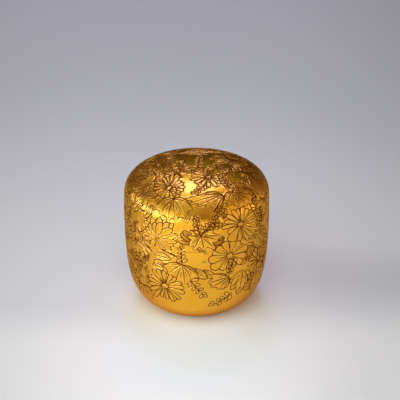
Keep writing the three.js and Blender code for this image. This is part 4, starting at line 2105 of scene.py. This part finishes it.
@dataclass
class Foot:
    """The foot ring and the base plate with its sunk square panel."""

    caddy: Caddy
    ring_wall: float = 1.0
    ring_gap: float = 0.1
    edge: float = 0.1
    rim_inset: float = 0.57
    panel_side: float = 11.0
    panel_depth: float = 0.35
    panel_slope: float = 0.16
    panel_groove: float = 0.45
    panel_spots: int = 24
    net: Sequence[tuple[float, int]] = ((19, 108), (17, 96), (14.5, 84), (12, 72), (10, 60), (4, 24), (2, 12))

    def build_ring(self) -> bpy.types.Object:
        """Makes the ring that the caddy stands on."""
        flange, _, top = box_mm("foot_ring")[1]
        lift = self.caddy.outline.foot_lift
        outer = Body.foot_face - self.ring_gap
        inner = outer - self.ring_wall
        corners = [(flange, lift), (flange, 0), (inner, 0), (inner, top), (outer, top), (outer, lift)]
        return ring_piece("turned_foot_ring", corners, self.edge, self.caddy.gilt)

    def square(self, side: float) -> Array:
        """Evenly spaced points round a square about the axis."""
        share = np.arange(self.panel_spots) / self.panel_spots * 2 - 1
        edge = np.stack([share, np.full(self.panel_spots, -1.0)], -1)
        turns = [edge, edge @ [[0, 1], [-1, 0]], -edge, edge @ [[0, -1], [1, 0]]]
        return np.vstack(turns) * side / 2

    def underside(self, rim: float, height: float) -> tuple[Array, Array, Array]:
        """The gilt underside: flat round the panel, with the slope and floor of the panel sunk into it.

        Args:
            rim: Its radius.
            height: Height of its flat part.

        Returns:
            Points, their groove marks, and the triangles.
        """
        inner_side = self.panel_side - 2 * self.panel_slope
        edge = round_points(round_azimuths(COLUMNS), rim, 0)[:, :2]
        loops = [edge, self.square(self.panel_side), self.square(inner_side)]
        rows = [round_points(round_azimuths(count), radius, 0)[:, :2] for radius, count in self.net]
        firsts = np.cumsum([0] + [len(loop) for loop in loops])
        links = [closed_links(first, len(loop)) for first, loop in zip(firsts, loops)]
        flat, triangles, _ = triangulated(np.vstack([*loops, *rows]), np.vstack(links))
        reach = np.abs(flat).max(1)
        inside = self.panel_side / 2 - self.panel_slope
        sunk = self.panel_depth * np.interp(reach, [inside, self.panel_side / 2], [1, 0])
        marks = [self.panel_groove, OPEN_SURFACE]
        groove = np.interp(np.abs(reach - inside), [0, self.panel_slope], marks)
        return np.column_stack([flat, height + sunk]), groove, triangles[:, ::-1]

    def build_plate(self) -> bpy.types.Object:
        """Makes the plate: a flat bare top, a sloped rim, and a gilt underside with the sunk panel.

        Returns:
            The piece.
        """
        low, high = box_mm("base_plate")
        rim = self.caddy.outline.foot_radius - self.rim_inset
        under, over = low[2], high[2]
        draft = MeshDraft()
        points, groove, triangles = self.underside(rim, under)
        below = draft.add_points(points, np.tile([0, 0, -1.0], (len(points), 1)), groove)
        draft.add_triangles(below[triangles])
        wide = high[0]
        section = [
            (rim, under), (wide, over - self.edge / 2), (wide - self.edge, over), (12, over), (4, over),
        ]
        slope, up = (0.7, -0.7), (0, 1)
        rings = draft.add_rings(np.array(section, float), np.array([slope, slope, up, up, up], float))
        draft.add_strip(rings[::-1], Side.BARE)
        draft.add_cap(rings[-1], over, 1, Side.BARE)
        return draft.make("sunk_base_plate", [self.caddy.gilt, self.caddy.pewter])


@dataclass(frozen=True)
class Glow:
    """A soft patch of light in the surroundings.

    Attributes:
        azimuth: Its direction about the Z axis from the camera's side, in degrees towards +X.
        elevation: Its height above the floor's plane, in degrees.
        core: Angle from its middle within which it is full, in degrees.
        edge: Angle at which it ends, in degrees.
        strength: Its brightness, or how much it darkens if negative.
    """

    azimuth: float
    elevation: float
    core: float
    edge: float
    strength: float


@dataclass(frozen=True)
class Lamp:
    """An area lamp that faces the caddy.

    Attributes:
        name: Its name.
        spot: Where its middle is.
        size: Its width and height.
        power: Its power in watts.
        colour: Its colour.
        card: Whether it is an upright card that is seen only in reflections. Otherwise it is a soft lamp that
            lights only dull surfaces.
    """

    name: str
    spot: tuple[float, float, float]
    size: tuple[float, float]
    power: float
    colour: tuple[float, float, float]
    card: bool

    def hang(self) -> None:
        """Adds the lamp to the scene, turned towards the caddy."""
        light = bpy.data.lights.new(self.name, "AREA")
        light.shape = "RECTANGLE" if self.card else "ELLIPSE"
        light.size, light.size_y = self.size
        light.energy = self.power
        light.color = self.colour
        holder = bpy.data.objects.new(self.name, light)
        holder.location = self.spot
        x, y, z = self.spot
        drop = 0.0 if self.card else z
        holder.rotation_euler = (math.atan2(math.hypot(x, y), drop), 0, math.atan2(x, -y))
        holder.visible_glossy = self.card
        holder.visible_diffuse = not self.card
        holder.visible_camera = False
        bpy.context.scene.collection.objects.link(holder)


@dataclass
class Studio:
    """Floor, surroundings, lamps and camera."""

    camera_spot: tuple[float, float, float] = (0.0, -0.3930, 0.2522)
    camera_down: float = 27.33
    camera_right: float = 0.22
    lens: float = 87.94
    film: float = 36.0
    paper_shift: float = 1000.0
    paper_drop: float = 0.01
    paper_radii: tuple[float, ...] = (1600, 800, 400, 200, 100)
    paper_columns: int = 96
    ambient: float = 0.17
    darkest: float = 0.02
    sides: Span = (-0.7, 0.7)
    warm: Span = (0.02, 0.7)
    cool: Span = (1.0, 2.4)
    left_tint: Colour = (0.95, 1.06, 1.05, 1)
    right_tint: Colour = (1.0, 0.8, 0.62, 1)
    warm_tint: Colour = (1.14, 0.7, 0.8, 1)
    cool_tint: Colour = (1.0, 1.04, 2.6, 1)
    glows: tuple[Glow, ...] = (
        Glow(180, 80, 1, 40, 0.72),
        Glow(-177, 53, 3, 16, 2.5),
        Glow(-158, 46, 2, 30, 0.32),
        Glow(176, 20, 16, 38, -0.14),
        Glow(2, 12, 5, 28, -0.17),
        Glow(-31, 38, 10, 55, 0.37),
        Glow(68, -3, 26, 66, 0.62),
        Glow(-73, -8, 18, 58, 0.85),
        Glow(-76, 3, 2, 18, 0.5),
        Glow(-38, 2, 2, 16, 0.7),
    )
    lamps: tuple[Lamp, ...] = (
        Lamp("softbox", (-0.2, -0.45, 0.75), (1.0, 1.0), 5.0, (0.99, 0.99, 1.0), card=False),
        Lamp("low_fill", (0.1, -0.62, 0.17), (1.1, 0.28), 2.1, (1.0, 0.99, 0.97), card=False),
        Lamp("left_card", (-0.41, -0.165, 0.066), (0.41, 0.06), 0.45, (1.0, 1.08, 1.7), card=True),
        Lamp("near_card", (-0.19, -0.235, 0.018), (0.17, 0.032), 0.075, (1.0, 1.08, 1.7), card=True),
        Lamp("right_card", (0.4, 0.0, 0.035), (0.2, 0.05), 0.07, (1.0, 0.82, 0.5), card=True),
    )

    def build_floor(self) -> None:
        """Lays a large round sheet of paper just under the caddy, reaching further back than in front."""
        draft = MeshDraft()
        section = np.array([(radius, -self.paper_drop) for radius in self.paper_radii])
        rings = draft.add_rings(section, np.tile([0, 1.0], (len(section), 1)), columns=self.paper_columns)
        draft.add_strip(rings[::-1])
        draft.add_cap(rings[-1], -self.paper_drop, 1)
        draft.points = [points + (0, self.paper_shift, 0) for points in draft.points]
        # the paper's colour has light and shade painted into it
        floor = draft.make("floor_paper", [Paper().build("paper_with_painted_light")])

    def build_surroundings(self) -> None:
        """Paints soft light into the surroundings: an even ambient and one smooth patch for each glow.

        The light is tinted from left to right, and again where it is dark and where it is bright.
        """
        world = bpy.data.worlds.new("studio")
        world.use_nodes = True
        bpy.context.scene.world = world
        wire = Wiring(world.node_tree)
        direction = wire.node("TexCoord").outputs["Generated"]
        total: float | Socket = self.ambient
        for glow in self.glows:
            azimuth, elevation = math.radians(glow.azimuth), math.radians(glow.elevation)
            toward = round_points(azimuth, math.cos(elevation), math.sin(elevation))
            aim = wire.node("VectorMath", {0: direction, 1: tuple(toward)}, operation="DOT_PRODUCT")
            edge, core = math.cos(math.radians(glow.edge)), math.cos(math.radians(glow.core))
            total = wire.math("ADD", total, wire.ramp(aim.outputs["Value"], edge, core, 0.0, glow.strength))
        total = wire.math("MAXIMUM", total, self.darkest)
        tint = wire.mix(wire.ramp(wire.parts(direction)[0], *self.sides), self.left_tint, self.right_tint)
        tint = wire.mix(wire.ramp(total, *self.warm), self.warm_tint, tint)
        tint = wire.mix(wire.ramp(total, *self.cool), tint, self.cool_tint)
        background = wire.node("Background", {"Color": tint, "Strength": total})
        wire.node("OutputWorld", {"Surface": background.outputs[0]})

    def build_camera(self) -> None:
        """Sets up the camera at the photograph's angle."""
        data = bpy.data.cameras.new("camera")
        data.sensor_width = self.film
        data.lens = self.lens
        camera = bpy.data.objects.new("camera", data)
        camera.location = self.camera_spot
        camera.rotation_euler = (math.radians(90 - self.camera_down), 0, -math.radians(self.camera_right))
        bpy.context.scene.collection.objects.link(camera)
        bpy.context.scene.camera = camera
        bpy.context.scene.view_settings.view_transform = "Standard"

    def build(self) -> None:
        """Builds all of the studio."""
        self.build_camera()
        self.build_surroundings()
        for lamp in self.lamps:
            lamp.hang()
        self.build_floor()


def install(piece: bpy.types.Object, body: str, node: str) -> None:
    """Puts a piece in the place of its CAD node.

    Args:
        piece: The piece.
        body: The body that it moves with.
        node: The node that it stands for.
    """
    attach(piece, body)
    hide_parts(node)
    LOG.info("%s stands for %s", piece.name, node)


def main() -> None:
    """Builds the caddy and its studio."""
    logging.basicConfig(level=logging.INFO, format="%(name)s: %(message)s")
    groups = Groups.build()
    gilt = Gilding().build("fire_gilt", groups)
    pewter = BarePewter().build("bare_pewter", groups)
    low, high = box_mm("lid_shell")
    outline = Outline(overall_height=float(high[2]), seam_height=float(low[2]))
    chart = Chart(outline)
    graver = Graver(chart)
    graver.engrave(garden())
    metres = sum(map(len, graver.runs)) * graver.spacing * MM
    LOG.info("engraving: %d lines, %.1f m", len(graver.runs), metres)
    caddy = Caddy(outline, chart, graver, gilt, pewter)
    install(Lid(caddy).build_shell(), "lid", "lid_shell")
    install(Body(caddy).build_shell(), "body", "body_shell")
    collar, guide = Collar(caddy).build()
    install(collar, "body", "mouth_collar")
    install(guide, "lid", "lid_guide_ring")
    foot = Foot(caddy)
    install(foot.build_ring(), "body", "foot_ring")
    install(foot.build_plate(), "body", "base_plate")
    Studio().build()


if __name__ == "__main__":
    main()
